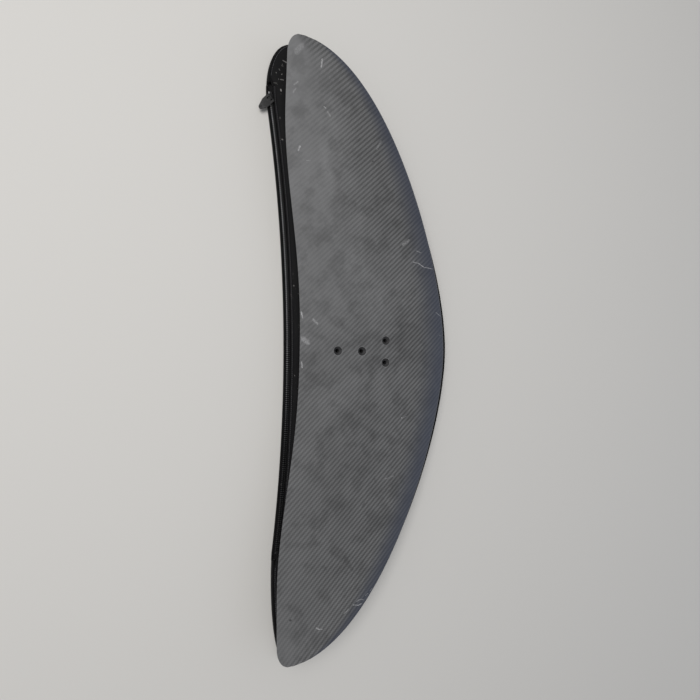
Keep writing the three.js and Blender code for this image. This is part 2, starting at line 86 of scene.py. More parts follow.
# %% Node tree helpers
class Wire:
    """One output socket. Arithmetic on it adds Math nodes to its tree."""

    def __init__(self, tree, socket):
        self.tree = tree
        self.socket = socket

    def math(self, operation, *others, clamp=False):
        settings = {"operation": operation, "use_clamp": clamp}
        return self.tree.add("ShaderNodeMath", settings, [self, *others])

    def __add__(self, other):
        return self.math("ADD", other)

    def __sub__(self, other):
        return self.math("SUBTRACT", other)

    def __mul__(self, other):
        return self.math("MULTIPLY", other)

    def __truediv__(self, other):
        return self.math("DIVIDE", other)

    def __mod__(self, other):
        return self.math("FLOORED_MODULO", other)

    def __lt__(self, other):
        return self.math("LESS_THAN", other)

    def __gt__(self, other):
        return self.math("GREATER_THAN", other)

    def __radd__(self, other):
        return self + other

    def __rmul__(self, other):
        return self * other

    def __rsub__(self, other):
        return self.tree.add("ShaderNodeMath", {"operation": "SUBTRACT"}, [other, self])


class Tree:
    """Builds nodes in one node tree."""

    def __init__(self, tree):
        self.tree = tree

    def add(self, kind, settings=None, sockets=(), out=0):
        node = self.tree.nodes.new(kind)
        for name, value in (settings or {}).items():
            setattr(node, name, value)
        named = sockets.items() if isinstance(sockets, dict) else enumerate(sockets)
        for key, value in named:
            target = node.inputs[key]
            if isinstance(value, Wire):
                self.tree.links.new(value.socket, target)
            else:
                target.default_value = value
        return Wire(self, node.outputs[out])

    def split(self, vector):
        node = self.tree.nodes.new("ShaderNodeSeparateXYZ")
        self.tree.links.new(vector.socket, node.inputs[0])
        return [Wire(self, socket) for socket in node.outputs]

    def ease(self, value, start, end):
        """0 up to start, 1 from end, smooth between."""
        settings = {"interpolation_type": "SMOOTHSTEP"}
        return self.add("ShaderNodeMapRange", settings, {0: value, 1: start, 2: end})

    def blend(self, factor, first, second):
        """Mixes two colours."""
        node = self.tree.nodes.new("ShaderNodeMix")
        node.data_type = "RGBA"
        for key, value in ((0, factor), (6, first), (7, second)):
            if isinstance(value, Wire):
                self.tree.links.new(value.socket, node.inputs[key])
            else:
                node.inputs[key].default_value = value if key == 0 else (*value, 1.0)
        return Wire(self, node.outputs[2])

    def noise(self, vector, scale, detail=2.0, rough=0.5):
        sockets = {"Vector": vector, "Scale": scale, "Detail": detail, "Roughness": rough}
        return self.add("ShaderNodeTexNoise", None, sockets)

    def place(self, scale=(1, 1, 1), turn=0.0):
        """Object coordinates, stretched and turned about Z."""
        here = self.add("ShaderNodeTexCoord", out=3)
        sockets = {"Vector": here, "Rotation": (0, 0, turn), "Scale": scale}
        return self.add("ShaderNodeMapping", None, sockets)

# %% [markdown]
# Every finish is a Principled shader. What is the same all over a piece, such as its coat or
# sheen, is set on the shader itself; only colour, roughness and a bump vary over the surface,
# and those can be baked into textures when the model leaves Blender.

# %% Material helpers
COAT_ROUGHNESS = 0.35


def new_material(name, rough, coat=0.0, metal=0.0, sheen=0.0, colour=(0.05, 0.05, 0.05)):
    """A Principled material and its tree. What is the same all over goes on the shader."""
    material = bpy.data.materials.new(name)
    material.use_nodes = True
    material.diffuse_color = (*colour, 1.0)
    shader = material.node_tree.nodes["Principled BSDF"]
    shader.inputs["Base Color"].default_value = (*colour, 1.0)
    shader.inputs["Roughness"].default_value = rough
    shader.inputs["Coat Weight"].default_value = coat
    shader.inputs["Coat Roughness"].default_value = COAT_ROUGHNESS
    shader.inputs["Metallic"].default_value = metal
    shader.inputs["Sheen Weight"].default_value = sheen
    return material, Tree(material.node_tree), shader


def feed(tree, shader, colour, height, rough=None, strength=1.0):
    """Links what varies over the surface: colour, a bump height in metres, and roughness."""
    tree.tree.links.new(colour.socket, shader.inputs["Base Color"])
    if rough is not None:
        tree.tree.links.new(rough.socket, shader.inputs["Roughness"])
    sockets = {"Height": height, "Distance": 1.0, "Strength": strength}
    bump = tree.add("ShaderNodeBump", None, sockets)
    tree.tree.links.new(bump.socket, shader.inputs["Normal"])

# %% [markdown]
# The wing's outline has a leading edge that bows forward in one long curve and a trailing
# edge that steps back towards the tips. A maker would draw these curves first and mill a
# mould from them; here they are functions of the place along the span, so that the skins, the
# carbon's shading and the dent in the cover all follow the same edges.

# %% Wing outline
TIP_STATION = 0.997      # the skins end at this part of the half span
half_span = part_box("screw_face_skin")[1].y / TIP_STATION
ROOT_LEADING, ROOT_TRAILING = 0.1324, -0.1324
SWEEP_BACK, SWEEP_SPAN, SWEEP_POWER = 0.0329, 0.387, 1.2
TIP_X = -0.147
TIP_CORNER = {"length": 0.028, "depth": 0.018, "power": 2}
NOSE_HANDLE, TIP_HANDLE = 0.1645, 0.0076


def smooth_step(t):
    return (1 - np.cos(np.pi * np.clip(t, 0, 1))) / 2


def bezier(points, count=600):
    t = np.linspace(0, 1, count)[:, None]
    a, b, c, d = (np.array(p, float) for p in points)
    return a * (1 - t) ** 3 + 3 * b * (1 - t) ** 2 * t + 3 * c * (1 - t) * t ** 2 + d * t ** 3


def corner_in(out, end, length, depth, power):
    """How far a rounded corner draws the edge in, for a distance out that stops at end."""
    t = np.clip((out - end + length) / length, 0, 1)
    return depth * (1 - (1 - t ** power) ** (1 / power))


leading_curve = bezier([(ROOT_LEADING, 0), (ROOT_LEADING, NOSE_HANDLE),
                        (TIP_HANDLE, half_span), (TIP_X, half_span)])


def leading_x(y):
    return np.interp(np.abs(y), leading_curve[:, 1], leading_curve[:, 0])


def trailing_x(y):
    out = np.abs(y)
    step_back = SWEEP_BACK * smooth_step((out / SWEEP_SPAN) ** SWEEP_POWER)
    return ROOT_TRAILING - step_back + corner_in(out, half_span, **TIP_CORNER)


def chord(y):
    return leading_x(y) - trailing_x(y)


print("span, mm:", round(2 * half_span / MM))
print("root chord, mm:", round(float(chord(np.zeros(1))[0]) / MM))

# %% [markdown]
# Each section is a foil whose screw face is flat behind three tenths of the chord, with the
# nose drooping in front of that. The thickness follows the classic four-digit formula, and
# the whole wing arches up a little from its flat seat to the tips.

# %% Foil sections
THICKNESS_ROOT, THICKNESS_TIP, EDGE_THICKNESS = 0.095, 0.078, 0.0016
FLAT_FROM, NOSE_DROP = 0.3, 0.035
SEAT_HALF_WIDTH, TIP_RISE, SKIN = 0.045, 0.028, 0.0012
screw_mount = next(m for m in frame["record"]["mounts"] if m["name"] == "screw_face")
seat_z = screw_mount["pos_m"][2]


def half_thickness(s, y):
    """The foil's half thickness, with edges rounded over their own thickness."""
    profile = (0.2969 * np.sqrt(s) - 0.126 * s - 0.3516 * s ** 2
               + 0.2843 * s ** 3 - 0.1036 * s ** 4) / 0.2
    ratio = THICKNESS_ROOT + (THICKNESS_TIP - THICKNESS_ROOT) * np.abs(y) / half_span
    edge = EDGE_THICKNESS / 2
    near = np.clip(np.minimum(s, 1 - s) * chord(y) / edge, 0, 1)
    return edge * np.sqrt(1 - (1 - near) ** 2) + np.maximum(profile, 0) * ratio * chord(y)


def middle_z(s, y):
    out = np.maximum(0, np.abs(y) - SEAT_HALF_WIDTH)
    top = seat_z + TIP_RISE * (out / (half_span - SEAT_HALF_WIDTH)) ** 2
    dip = half_thickness(np.full_like(y, FLAT_FROM), y)
    nose = top - dip + (dip - NOSE_DROP * chord(y)) * (np.clip(FLAT_FROM - s, 0, 1) / FLAT_FROM) ** 2
    return np.where(s >= FLAT_FROM, top - half_thickness(s, y), nose)


root_half = float(half_thickness(np.full(1, FLAT_FROM), np.zeros(1))[0])
print("thickest at the root, mm:", round(2 * root_half / MM, 1))

# %% [markdown]
# Most pieces start as a grid of points worked out from a formula. Two grids of one size,
# joined round their rims, make a thin closed solid such as a skin or a panel. Holes are cut
# with a Boolean modifier whose result is kept, so the piece that is left is a plain mesh.

# %% Mesh helpers
MERGE_WITHIN, TINY_EDGE = 1e-6, 1e-7


def make_piece(name, vertices, faces, material):
    """A smooth mesh object at the origin, merged, with its faces out."""
    mesh = bpy.data.meshes.new(name)
    mesh.from_pydata([tuple(v) for v in vertices], [], faces)
    work = bmesh.new()
    work.from_mesh(mesh)
    bmesh.ops.remove_doubles(work, verts=work.verts, dist=MERGE_WITHIN)
    bmesh.ops.dissolve_degenerate(work, edges=work.edges, dist=TINY_EDGE)
    bmesh.ops.recalc_face_normals(work, faces=work.faces)
    work.to_mesh(mesh)
    work.free()
    mesh.shade_smooth()
    piece = bpy.data.objects.new(name, mesh)
    scene.collection.objects.link(piece)
    piece.data.materials.append(material)
    return piece


def grid_faces(rows, columns, start=0, flip=False, close_rows=False, close_columns=False):
    faces = []
    for i in range(rows if close_rows else rows - 1):
        for j in range(columns if close_columns else columns - 1):
            i2, j2 = (i + 1) % rows, (j + 1) % columns
            quad = [start + i * columns + j, start + i2 * columns + j,
                    start + i2 * columns + j2, start + i * columns + j2]
            faces.append(quad[::-1] if flip else quad)
    return faces


def shell_between(first, second):
    """Vertices and faces of the closed solid between two grids of points of one size."""
    rows, columns = first.shape[:2]
    count = rows * columns
    faces = grid_faces(rows, columns) + grid_faces(rows, columns, count, flip=True)
    rim = [i * columns for i in range(rows)]
    rim += [(rows - 1) * columns + j for j in range(1, columns)]
    rim += [i * columns + columns - 1 for i in range(rows - 2, -1, -1)]
    rim += list(range(columns - 2, 0, -1))
    faces += [[a, b, b + count, a + count] for a, b in zip(rim, rim[1:] + rim[:1])]
    return np.concatenate([first.reshape(-1, 3), second.reshape(-1, 3)]), faces


def keep_result(piece, modifier):
    """Makes what a modifier shows the piece's own mesh, and takes the modifier off."""
    graph = bpy.context.evaluated_depsgraph_get()
    finished = bpy.data.meshes.new_from_object(piece.evaluated_get(graph))
    piece.modifiers.remove(modifier)
    piece.data = finished


def cut(piece, cutter):
    """Takes a cutter out of a piece for good."""
    modifier = piece.modifiers.new("cut", "BOOLEAN")
    modifier.operation = "DIFFERENCE"
    modifier.solver = "EXACT"
    modifier.object = cutter
    keep_result(piece, modifier)


def paint(node, material):
    """Gives a piece of the mechanical model its finish."""
    node.data.materials.clear()
    node.data.materials.append(material)

# %% [markdown]
# A wing that has been carried about has pale scuffs and a few dark smudges. They could be
# painted on an image; as strokes in the material they stay sharp at any size. Each stroke runs
# from point to point on the wing, in millimetres, with a width and a strength from 0 to 1.

# %% Scuffs and smudges
SOFT_FROM = 0.3          # a stroke is solid to this part of its width and fades beyond


def scratch_mask(tree, x, y, wobble, strokes):
    """Soft lines from point to point, in millimetres on the wing, each with its own width."""
    total = None
    for x0, y0, x1, y1, width, strength in strokes:
        length = math.hypot(x1 - x0, y1 - y0)
        ux, uy = (x1 - x0) / length, (y1 - y0) / length
        along = (x - x0 * MM) * ux + (y - y0 * MM) * uy
        across = ((x - x0 * MM) * -uy + (y - y0 * MM) * ux + wobble).math("ABSOLUTE")
        past = (along - length * MM / 2).math("ABSOLUTE") - length * MM / 2
        distance = across + past.math("MAXIMUM", 0.0)
        line = (1 - tree.ease(distance, width * MM * SOFT_FROM, width * MM)) * strength
        total = line if total is None else total.math("MAXIMUM", line)
    return total


PALE_SCUFFS = [
    (-110, 457, -111, 445, 1.6, 0.80), (-153, 411, -147, 416, 1.6, 0.35),
    (-154, 399, -150, 406, 1.6, 0.30), (-104, 387, -101, 385, 1.2, 0.70),
    (-98, 380, -93, 375, 2.2, 0.30), (-143, 314, -140, 321, 1.8, 0.80),
    (-129, 301, -123, 301, 1.0, 0.30), (-11, 336, -4, 350, 2.4, 0.20),
    (44, 184, 55, 193, 3.0, 0.35), (70, 176, 80, 174, 1.0, 0.50), (65, 156, 75, 155, 0.9, 0.70),
    (75, 155, 86, 149, 0.9, 0.90), (86, 149, 104, 148, 0.9, 0.60), (113, 71, 124, 65, 1.0, 0.40),
    (-131, 61, -129, 52, 1.8, 0.90), (-111, 50, -104, 43, 2.6, 0.45),
    (-128, 19, -119, 12, 5.5, 0.45), (-129, -19, -128, -28, 1.4, 0.80),
    (48, -114, 49, -114, 1.4, 0.90), (49, -114, 57, -111, 1.0, 0.20),
    (122, 31, 123, 30, 1.0, 0.50), (18, -216, 33, -212, 1.6, 0.25),
    (-41, -411, -33, -414, 1.0, 0.70), (-33, -414, -26, -412, 1.1, 0.80),
    (-35, -407, -29, -405, 0.9, 0.50), (-29, -405, -22, -407, 0.9, 0.40),
    (-19, -401, -15, -398, 0.9, 0.50), (-11, -395, -7, -392, 1.0, 0.50),
    (-57, -422, -49, -417, 1.2, 0.40), (-103, -436, -99, -439, 1.2, 0.70),
    (-99, -439, -93, -440, 1.2, 0.60), (-152, 458, -143, 470, 6.0, 0.25),
]
DARK_SMUDGES = [
    (-18, 315, -16, 316, 1.8, 0.80), (-50, 306, -46, 308, 2.0, 0.35),
    (-3, 317, -2, 317, 1.5, 0.30), (-145, -418, -143, -419, 2.0, 0.95),
    (-23, -259, -20, -253, 3.0, 0.40), (-53, -337, -47, -350, 6.0, 0.35),
    (-47, -350, -41, -358, 3.5, 0.40), (-91, -345, -86, -350, 4.0, 0.30),
    (-74, -327, -61, -339, 6.0, 0.20), (-2, -213, 1, -220, 2.5, 0.30),
    (-67, 259, -61, 252, 5.0, 0.20), (-139, 408, -125, 423, 9.0, 0.16),
    (-82, 9, -89, -2, 4.0, 0.12),
]
print("scuffs:", len(PALE_SCUFFS), "smudges:", len(DARK_SMUDGES))

# %% [markdown]
# The carbon changes from nose to tail, so its material must know where the two edges are. A
# material cannot call Python, but it can add and multiply: each edge is fitted with a short
# sum of even powers of Y, which suits a wing that is the same on both sides.

# %% Edges that a material can follow
FIT_REACH, FIT_DEGREE = 0.97, 5


def edge_terms(edge_x):
    """An edge's X as a sum of even powers of Y, so that a material can follow it."""
    y = np.linspace(-FIT_REACH, FIT_REACH, 200) * half_span
    return np.polynomial.polynomial.polyfit(y * y, edge_x(y), FIT_DEGREE)


def even_powers(y, terms):
    square, total = y * y, None
    for term in reversed(terms):
        total = float(term) if total is None else square * total + float(term)
    return total


fit_y = np.linspace(0, FIT_REACH * half_span, 50)
for edge in (leading_x, trailing_x):
    miss = np.abs(even_powers(fit_y, edge_terms(edge)) - edge(fit_y)).max()
    print(edge.__name__, "fitted within, mm:", round(float(miss) / MM, 1))

# %% [markdown]
# Carbon cloth in a two by two twill: each tow goes over two and under two, one step along
# on every row, which draws diagonal ribs. Tows that cross catch the light differently, so
# the two sets get slightly different greys, and each tow is a low rounded ridge. The face
# has been sanded to a satin, then handled: it has cloudy patches and pale scuffs. Light is
# painted in too: a painted sheen towards the trailing edge and the tips, painted shade and a
# painted blue reflection along the nose, and painted highlights round the hole mouths.

# %% Carbon skin material
TOW = 0.00214
SINK_RADIUS, HOLE_RADIUS = 0.0070, 0.0033
hole_places = [((o["box_m"][0][0] + o["box_m"][1][0]) / 2, (o["box_m"][0][1] + o["box_m"][1][1]) / 2)
               for o in frame["record"]["physics"]["openings"]]
CARBON_GREY = (0.122, 0.123, 0.126)
# The blue of the reflection painted along the nose.
NOSE_REFLECTION_BLUE = (0.034, 0.043, 0.074)
# The scuff grey also paints the highlight round the hole mouths.
SCUFF_AND_HIGHLIGHT_GREY, SMUDGE_GREY = (0.44, 0.44, 0.45), (0.018, 0.018, 0.019)
TOW_HEIGHT, FIBRE_HEIGHT = 0.00006, 0.00001
TWILL_CONTRAST = 0.72
# The rings of painted highlight round the hole mouths: where, how sharp and how strong.
RIM_OUT, RIM_SHARP, RIM_FADE, RIM_HIGHLIGHT = 0.0003, 0.0001, 0.0008, 0.22


def mouth_highlights(tree, x, y):
    """Thin pale rings round the screw holes' mouths: a painted highlight on the countersink lips."""
    total = None
    for centre_x, centre_y in hole_places:
        across, along = x - centre_x, y - centre_y
        far = (across * across + along * along).math("SQRT")
        ring = 1 - tree.ease((far - SINK_RADIUS - RIM_OUT).math("ABSOLUTE"), RIM_SHARP, RIM_FADE)
        total = ring if total is None else total.math("MAXIMUM", ring)
    return total * RIM_HIGHLIGHT


def carbon_skin_material():
    material, tree, shader = new_material("carbon_skin", 0.42, coat=0.10, colour=CARBON_GREY)
    place = tree.place()
    x, y, _ = tree.split(place)
    column, row = (x / TOW).math("FLOOR"), (y / TOW).math("FLOOR")
    over = ((column - row) % 4.0) < 1.5
    inside_x, inside_y = (x / TOW) % 1.0 - 0.5, (y / TOW) % 1.0 - 0.5
    ridge_x = 1 - inside_x * inside_x * 4
    ridge_y = 1 - inside_y * inside_y * 4
    ridge = over * ridge_x + (1 - over) * ridge_y
    fibres_x = tree.noise(tree.place((9000, 250, 1)), 1.0)
    fibres_y = tree.noise(tree.place((250, 9000, 1)), 1.0)
    fibres = over * fibres_x + (1 - over) * fibres_y
    cloud = tree.noise(place, 9.0, 3.0, 0.55)
    smudge = tree.noise(place, 38.0, 4.0, 0.65)
    leading, trailing = (even_powers(y, edge_terms(edge)) for edge in (leading_x, trailing_x))
    behind = (leading - x) / (leading - trailing)
    # The face is paler near the trailing edge, towards the +Y tip and on both tips: partly
    # sanding haze, which also fades the twill, and partly a painted sheen.
    patchy = (cloud - 0.5) * 0.5 + (smudge - 0.5) * 0.2
    aft = tree.ease(behind + patchy, 0.15, 0.95)
    far_side = tree.ease(y + (cloud - 0.5) * 0.2, -0.20, 0.20)
    tips = tree.ease(y.math("ABSOLUTE"), 0.34, 0.47)
    haze_and_sheen = aft * (0.40 + far_side * 0.5) + tips * (0.12 + 0.3 * aft)
    # Painted shade and a painted blue reflection: the tone darkens and turns blue towards the nose.
    nose = 1 - tree.ease(behind, 0.0, 0.22)
    twill = (0.5 - over) * (1.05 - haze_and_sheen).math("MAXIMUM", 0.06) * TWILL_CONTRAST
    tone = 0.66 + haze_and_sheen * 0.34 - nose * 0.27 + (fibres - 0.5) * 0.5 + ridge * 0.05
    mottle = tree.ease(tree.noise(place, 30.0, 4.0, 0.6), 0.34, 0.54)
    tone = tone * (1 - twill) * (0.74 + cloud * 0.52) * (0.80 + smudge * 0.40) * (0.78 + mottle * 0.25)
    wobble = (tree.noise(place, 160.0, 2.0) - 0.5) * 0.0022
    grain = tree.ease(tree.noise(place, 700.0, 3.0, 0.8), 0.36, 0.56)
    pale = scratch_mask(tree, x, y, wobble, PALE_SCUFFS) * grain
    dark = scratch_mask(tree, x, y, wobble, DARK_SMUDGES)
    hairlines = tree.noise(tree.place((60, 2600, 1), 0.5), 1.0, 1.0)
    rims = mouth_highlights(tree, x, y)
    hair = tree.ease(hairlines, 0.76, 0.80) * tree.ease(smudge, 0.55, 0.75)
    dust = tree.ease(tree.noise(place, 330.0, 2.0, 0.7), 0.735, 0.775)
    # Real scuffs, hairlines and dust, together with the painted highlight round the hole mouths.
    marks = pale.math("MAXIMUM", hair * 0.16 + dust * 0.20).math("MAXIMUM", rims)
    shades = [tone * part for part in CARBON_GREY]
    grey = tree.add("ShaderNodeCombineColor", None, shades)
    grey = tree.blend(nose * 0.6, grey, NOSE_REFLECTION_BLUE)
    worn_and_highlit = tree.blend(marks, grey, SCUFF_AND_HIGHLIGHT_GREY)
    worn_and_highlit = tree.blend(dark * 0.8, worn_and_highlit, SMUDGE_GREY)
    rough = 0.40 + haze_and_sheen * 0.08 + (cloud - 0.5) * 0.12 + marks * 0.25
    height = ridge * TOW_HEIGHT + fibres * FIBRE_HEIGHT
    feed(tree, shader, colour=worn_and_highlit, rough=rough, height=height, strength=0.6)
    return material


carbon = carbon_skin_material()
print("tow, mm:", round(TOW / MM, 2), "diagonal rib, mm:", round(TOW * 2 * math.sqrt(2) / MM, 2))

# %% [markdown]
# Cut laminate shows its plies as thin layers, which the screw holes reveal. The layers are
# bands of height, so they run level through the block as the cloth does.

# %% Laminate material
PLY = 0.0003


def laminate_material():
    """The cut edge of the laminate, whose plies show as thin layers."""
    material, tree, shader = new_material("laminate", 0.5, colour=(0.022, 0.022, 0.024))
    place = tree.place()
    _, _, z = tree.split(place)
    ply = ((z / PLY) % 1.0) > 0.5
    speck = tree.noise(place, 800.0, 3.0)
    colour = tree.blend(ply * 0.5 + speck * 0.4, (0.014, 0.014, 0.015), (0.045, 0.045, 0.048))
    feed(tree, shader, colour=colour, height=speck * 0.00005, rough=0.42 + speck * 0.25)
    return material


laminate = laminate_material()
print("ply, mm:", PLY / MM)

# %% [markdown]
# Four countersunk holes take the screws. They could be modelled into each grid; cutting them
# afterwards, as a drill would, is simpler: one turned shape for each hole, taken out of both
# skins and the block. Its many sides give a rounder mouth than the mechanical model's.

# %% Countersunk hole cutters
HOLE_SIDES = 64
MOUTH_LIP, ABOVE_FACE = 0.0004, 0.01


def lathe_mesh(profile, sides, centre):
    """Vertices and faces of a turned solid whose profile starts and ends on the axis."""
    turns = np.linspace(0, 2 * np.pi, sides, endpoint=False)
    rings = [[(centre[0] + r * math.cos(a), centre[1] + r * math.sin(a), z) for r, z in profile]
             for a in turns]
    vertices = np.array(rings).reshape(-1, 3)
    return vertices, grid_faces(sides, len(profile), close_rows=True)


def hole_cutters():
    sink = SINK_RADIUS - HOLE_RADIUS
    floor_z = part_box("cover_top_shell")[1].z
    profile = [(0, floor_z), (HOLE_RADIUS, floor_z), (HOLE_RADIUS, seat_z - sink - MOUTH_LIP),
               (SINK_RADIUS, seat_z - MOUTH_LIP), (SINK_RADIUS + MOUTH_LIP, seat_z + MOUTH_LIP / 4),
               (SINK_RADIUS + MOUTH_LIP, seat_z + ABOVE_FACE), (0, seat_z + ABOVE_FACE)]
    vertices, faces = [], []
    for place in hole_places:
        points, sides = lathe_mesh(profile, HOLE_SIDES, place)
        faces += [[i + len(vertices) for i in face] for face in sides]
        vertices += list(points)
    cutters = make_piece("hole_cutters", vertices, faces, carbon)
    cutters.data.materials.append(laminate)
    for face in cutters.data.polygons:
        face.material_index = 1
    return cutters


cutters = hole_cutters()
print("screw holes:", len(hole_places), "mouth, mm:", 2 * SINK_RADIUS / MM)

# %% [markdown]
# The two skins are moulded apart and bonded round the edge. Each is drawn as a grid over the
# outline, closed into a thin solid, and then drilled. Points crowd together towards the tips
# and the two edges, most of all the nose, where the surface bends most.

# %% Wing skins
CHORD_POINTS, SPAN_POINTS = 56, 181
NOSE_CROWDING, TIP_REACH = 1.25, 0.9995
SKIN_AT_EDGE = 0.6       # near an edge the skin takes this much of the half thickness


def skin_grids(side):
    """Outer and inner grids of one skin. side is 1 for the screw face and -1 for the other."""
    turn = np.linspace(0, np.pi, CHORD_POINTS)
    s = (1 - np.cos(turn)) / 2
    s = s ** NOSE_CROWDING
    along = np.linspace(-1, 1, SPAN_POINTS)
    reach = half_span * TIP_REACH
    y = reach * np.sin(along * np.pi / 2) * 0.5 + reach * along * 0.5
    s, y = np.meshgrid(s, y)
    flat_s, flat_y = s.ravel(), y.ravel()
    x = leading_x(flat_y) + (trailing_x(flat_y) - leading_x(flat_y)) * flat_s
    half, middle = half_thickness(flat_s, flat_y), middle_z(flat_s, flat_y)
    outer = np.stack([x, flat_y, middle + side * half], 1).reshape(*s.shape, 3)
    depth = np.minimum(SKIN, SKIN_AT_EDGE * half)
    inner = np.stack([x, flat_y, middle + side * (half - depth)], 1).reshape(*s.shape, 3)
    return outer, inner


def wing_skin(name, side):
    outer, inner = skin_grids(side)
    vertices, faces = shell_between(*((outer, inner) if side > 0 else (inner, outer)))
    piece = make_piece(name, vertices, faces, carbon)
    piece.data.materials.append(laminate)
    cut(piece, cutters)
    piece.data.shade_smooth()
    piece.data.set_sharp_from_angle(angle=math.radians(40))
    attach(piece, "wing")
    return piece


screw_skin = wing_skin("wing_screw_face", 1)
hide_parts("screw_face_skin")
lift_skin = wing_skin("wing_lift_face", -1)
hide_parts("lift_face_skin")
print("skin faces:", len(screw_skin.data.polygons), len(lift_skin.data.polygons))

# %% [markdown]
# Of what lies inside the wing, only the solid laminate block shows, down the screw holes.
# The foam cores still get a fine closed-cell foam, made from a cell pattern, in case the wing
# is ever opened.

# %% Inner materials
def foam_material(name, colour, cell):
    material, tree, shader = new_material(name, 0.9, colour=colour)
    place = tree.place()
    cells = tree.add("ShaderNodeTexVoronoi", None, {"Vector": place, "Scale": 1 / cell})
    shade = 0.8 + cells * 0.4
    tinted = tree.add("ShaderNodeCombineColor", None, [shade * c for c in colour])
    feed(tree, shader, colour=tinted, height=cells * cell * 0.3)
    return material


core_foam = foam_material("core_foam", (0.75, 0.68, 0.5), 0.0008)
for name, node in frame["nodes"].items():
    if name.startswith("foam_core"):
        paint(node, core_foam)
    elif name.startswith(("nose_packing", "tail_packing", "tip_block")) or "spar_cap" in name:
        paint(node, laminate)
print("foam cores:", sum(name.startswith("foam_core") for name in frame["nodes"]))

# %% [markdown]
# The screws pass through a block of solid laminate between the skins. It is drawn again from
# the foil section with the same round holes, a little under the skins and deeper still where
# the two spar caps cross it.

# %% Mount block
UNDER_SKIN, UNDER_CAPS = 0.0015, 0.0019
CAP_FRONT, CAP_REAR = 0.195, 0.485       # the spar caps, as parts of the chord


def mount_block():
    low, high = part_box("mount_block")
    columns, rows = 60, 17
    xs, ys = np.meshgrid(np.linspace(high.x, low.x, columns), np.linspace(low.y, high.y, rows))
    y = ys.ravel()
    s = (leading_x(y) - xs.ravel()) / chord(y)
    under_caps = (s > CAP_FRONT) & (s < CAP_REAR)
    middle, half = middle_z(s, y), half_thickness(s, y) - UNDER_SKIN - UNDER_CAPS * under_caps
    top = np.stack([xs.ravel(), ys.ravel(), middle + half], 1).reshape(rows, columns, 3)
    base = np.stack([xs.ravel(), ys.ravel(), middle - half], 1).reshape(rows, columns, 3)
    piece = make_piece("wing_mount_block", *shell_between(top, base), laminate)
    cut(piece, cutters)
    piece.data.set_sharp_from_angle(angle=math.radians(30))
    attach(piece, "wing")
    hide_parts("mount_block")
    return piece


block = mount_block()
bpy.data.objects.remove(cutters)
print("block faces:", len(block.data.polygons))

# %% [markdown]
# The cover's outline is drawn like the wing's, a hand's width larger, and turned a little
# under the wing as it was dropped there. Its rear edge is a long arc, because a zip only
# runs freely along a smooth curve; the slider turns about that arc's far centre. Drawing all
# of it in the cover's own axes and turning it last keeps every curve simple.

# %% Cover outline
zip_joint = next(j for j in frame["joints"] if j["name"] == "zip_travel")
zip_centre = Vector(zip_joint["pos_m"])
COVER_TURN = math.radians(0.89)
COVER_HALF = half_span + 0.023
ZIP_TOP_IN, ZIP_END_IN = 0.088, 0.178    # where the zip stops, in from the cover's two ends
ZIP_X = -0.1452          # the zip's middle line at the root
ZIP_RADIUS = ZIP_X + zip_centre.length
ZIP_TO_EDGE = 0.007
ZIP_TOP, ZIP_END = COVER_HALF - ZIP_TOP_IN, ZIP_END_IN - COVER_HALF
TOP_CORNER = {"length": 0.107, "depth": 0.058, "power": 2}
END_CORNER = {"length": 0.178, "depth": 0.043, "power": 1.5}
FRONT_X, FRONT_LEAN = ROOT_LEADING + 0.0175, 0.0015
FRONT_HANDLE, END_HANDLE, END_X = NOSE_HANDLE * 1.05, TIP_HANDLE + 0.008, TIP_X + 0.016
cover_curve = bezier([(FRONT_X, 0), (FRONT_X, FRONT_HANDLE), (END_HANDLE, COVER_HALF), (END_X, COVER_HALF)])


def zip_arc(y):
    return np.sqrt(ZIP_RADIUS ** 2 - np.asarray(y) ** 2) - ZIP_RADIUS


def cover_rear_x(y):
    ends = corner_in(y, COVER_HALF, **TOP_CORNER) + corner_in(-y, COVER_HALF, **END_CORNER)
    return ZIP_X - ZIP_TO_EDGE + zip_arc(y) + ends


def cover_front_x(y):
    lean = FRONT_LEAN * np.sin(np.pi * y / COVER_HALF)
    return np.interp(np.abs(y), cover_curve[:, 1], cover_curve[:, 0]) + lean


def turned(points):
    """Places points drawn in the cover's own axes."""
    points = np.asarray(points, float).copy()
    c, s = math.cos(COVER_TURN), math.sin(COVER_TURN)
    x, y = points[..., 0].copy(), points[..., 1].copy()
    points[..., 0], points[..., 1] = x * c - y * s, x * s + y * c
    return points


def outline_points(count):
    """The cover's edge as an even closed loop, anticlockwise, in its own axes."""
    y = COVER_HALF * np.sin(np.linspace(-np.pi / 2, np.pi / 2, 400))
    front = np.stack([cover_front_x(y), y], 1)
    rear = np.stack([cover_rear_x(y), y], 1)[::-1]
    loop = np.concatenate([front, rear])
    steps = np.linalg.norm(np.roll(loop, -1, 0) - loop, axis=1)
    keep = steps > 1e-6
    loop, steps = loop[keep], steps[keep]
    closed = np.concatenate([loop, loop[:1]])
    far = np.concatenate([[0], np.cumsum(np.linalg.norm(np.diff(closed, axis=0), axis=1))])
    even = np.linspace(0, far[-1], count, endpoint=False)
    return np.stack([np.interp(even, far, closed[:, k]) for k in (0, 1)], 1)


def loop_normals(loop):
    """Outward unit normals of an anticlockwise loop."""
    ahead = np.roll(loop, -1, 0) - np.roll(loop, 1, 0)
    ahead /= np.linalg.norm(ahead, axis=1)[:, None]
    return np.stack([ahead[:, 1], -ahead[:, 0]], 1)


print("zip arc radius, mm:", round(ZIP_RADIUS / MM))

# %% [markdown]
# Black coated nylon is a fine plain weave with a dull sheen; dust and lint show on it as pale
# specks. Two crossed waves make the weave, and a third along the cloth ribs the tapes, so one
# recipe serves for the panels, the tapes and the thread.

# %% Fabric materials
RIB_PITCH, DUST_GREY = 0.0011, (0.42, 0.41, 0.40)
WEAVE_HEIGHT, RIB_HEIGHT, PUCKER_HEIGHT = 0.00006, 0.00012, 0.0008
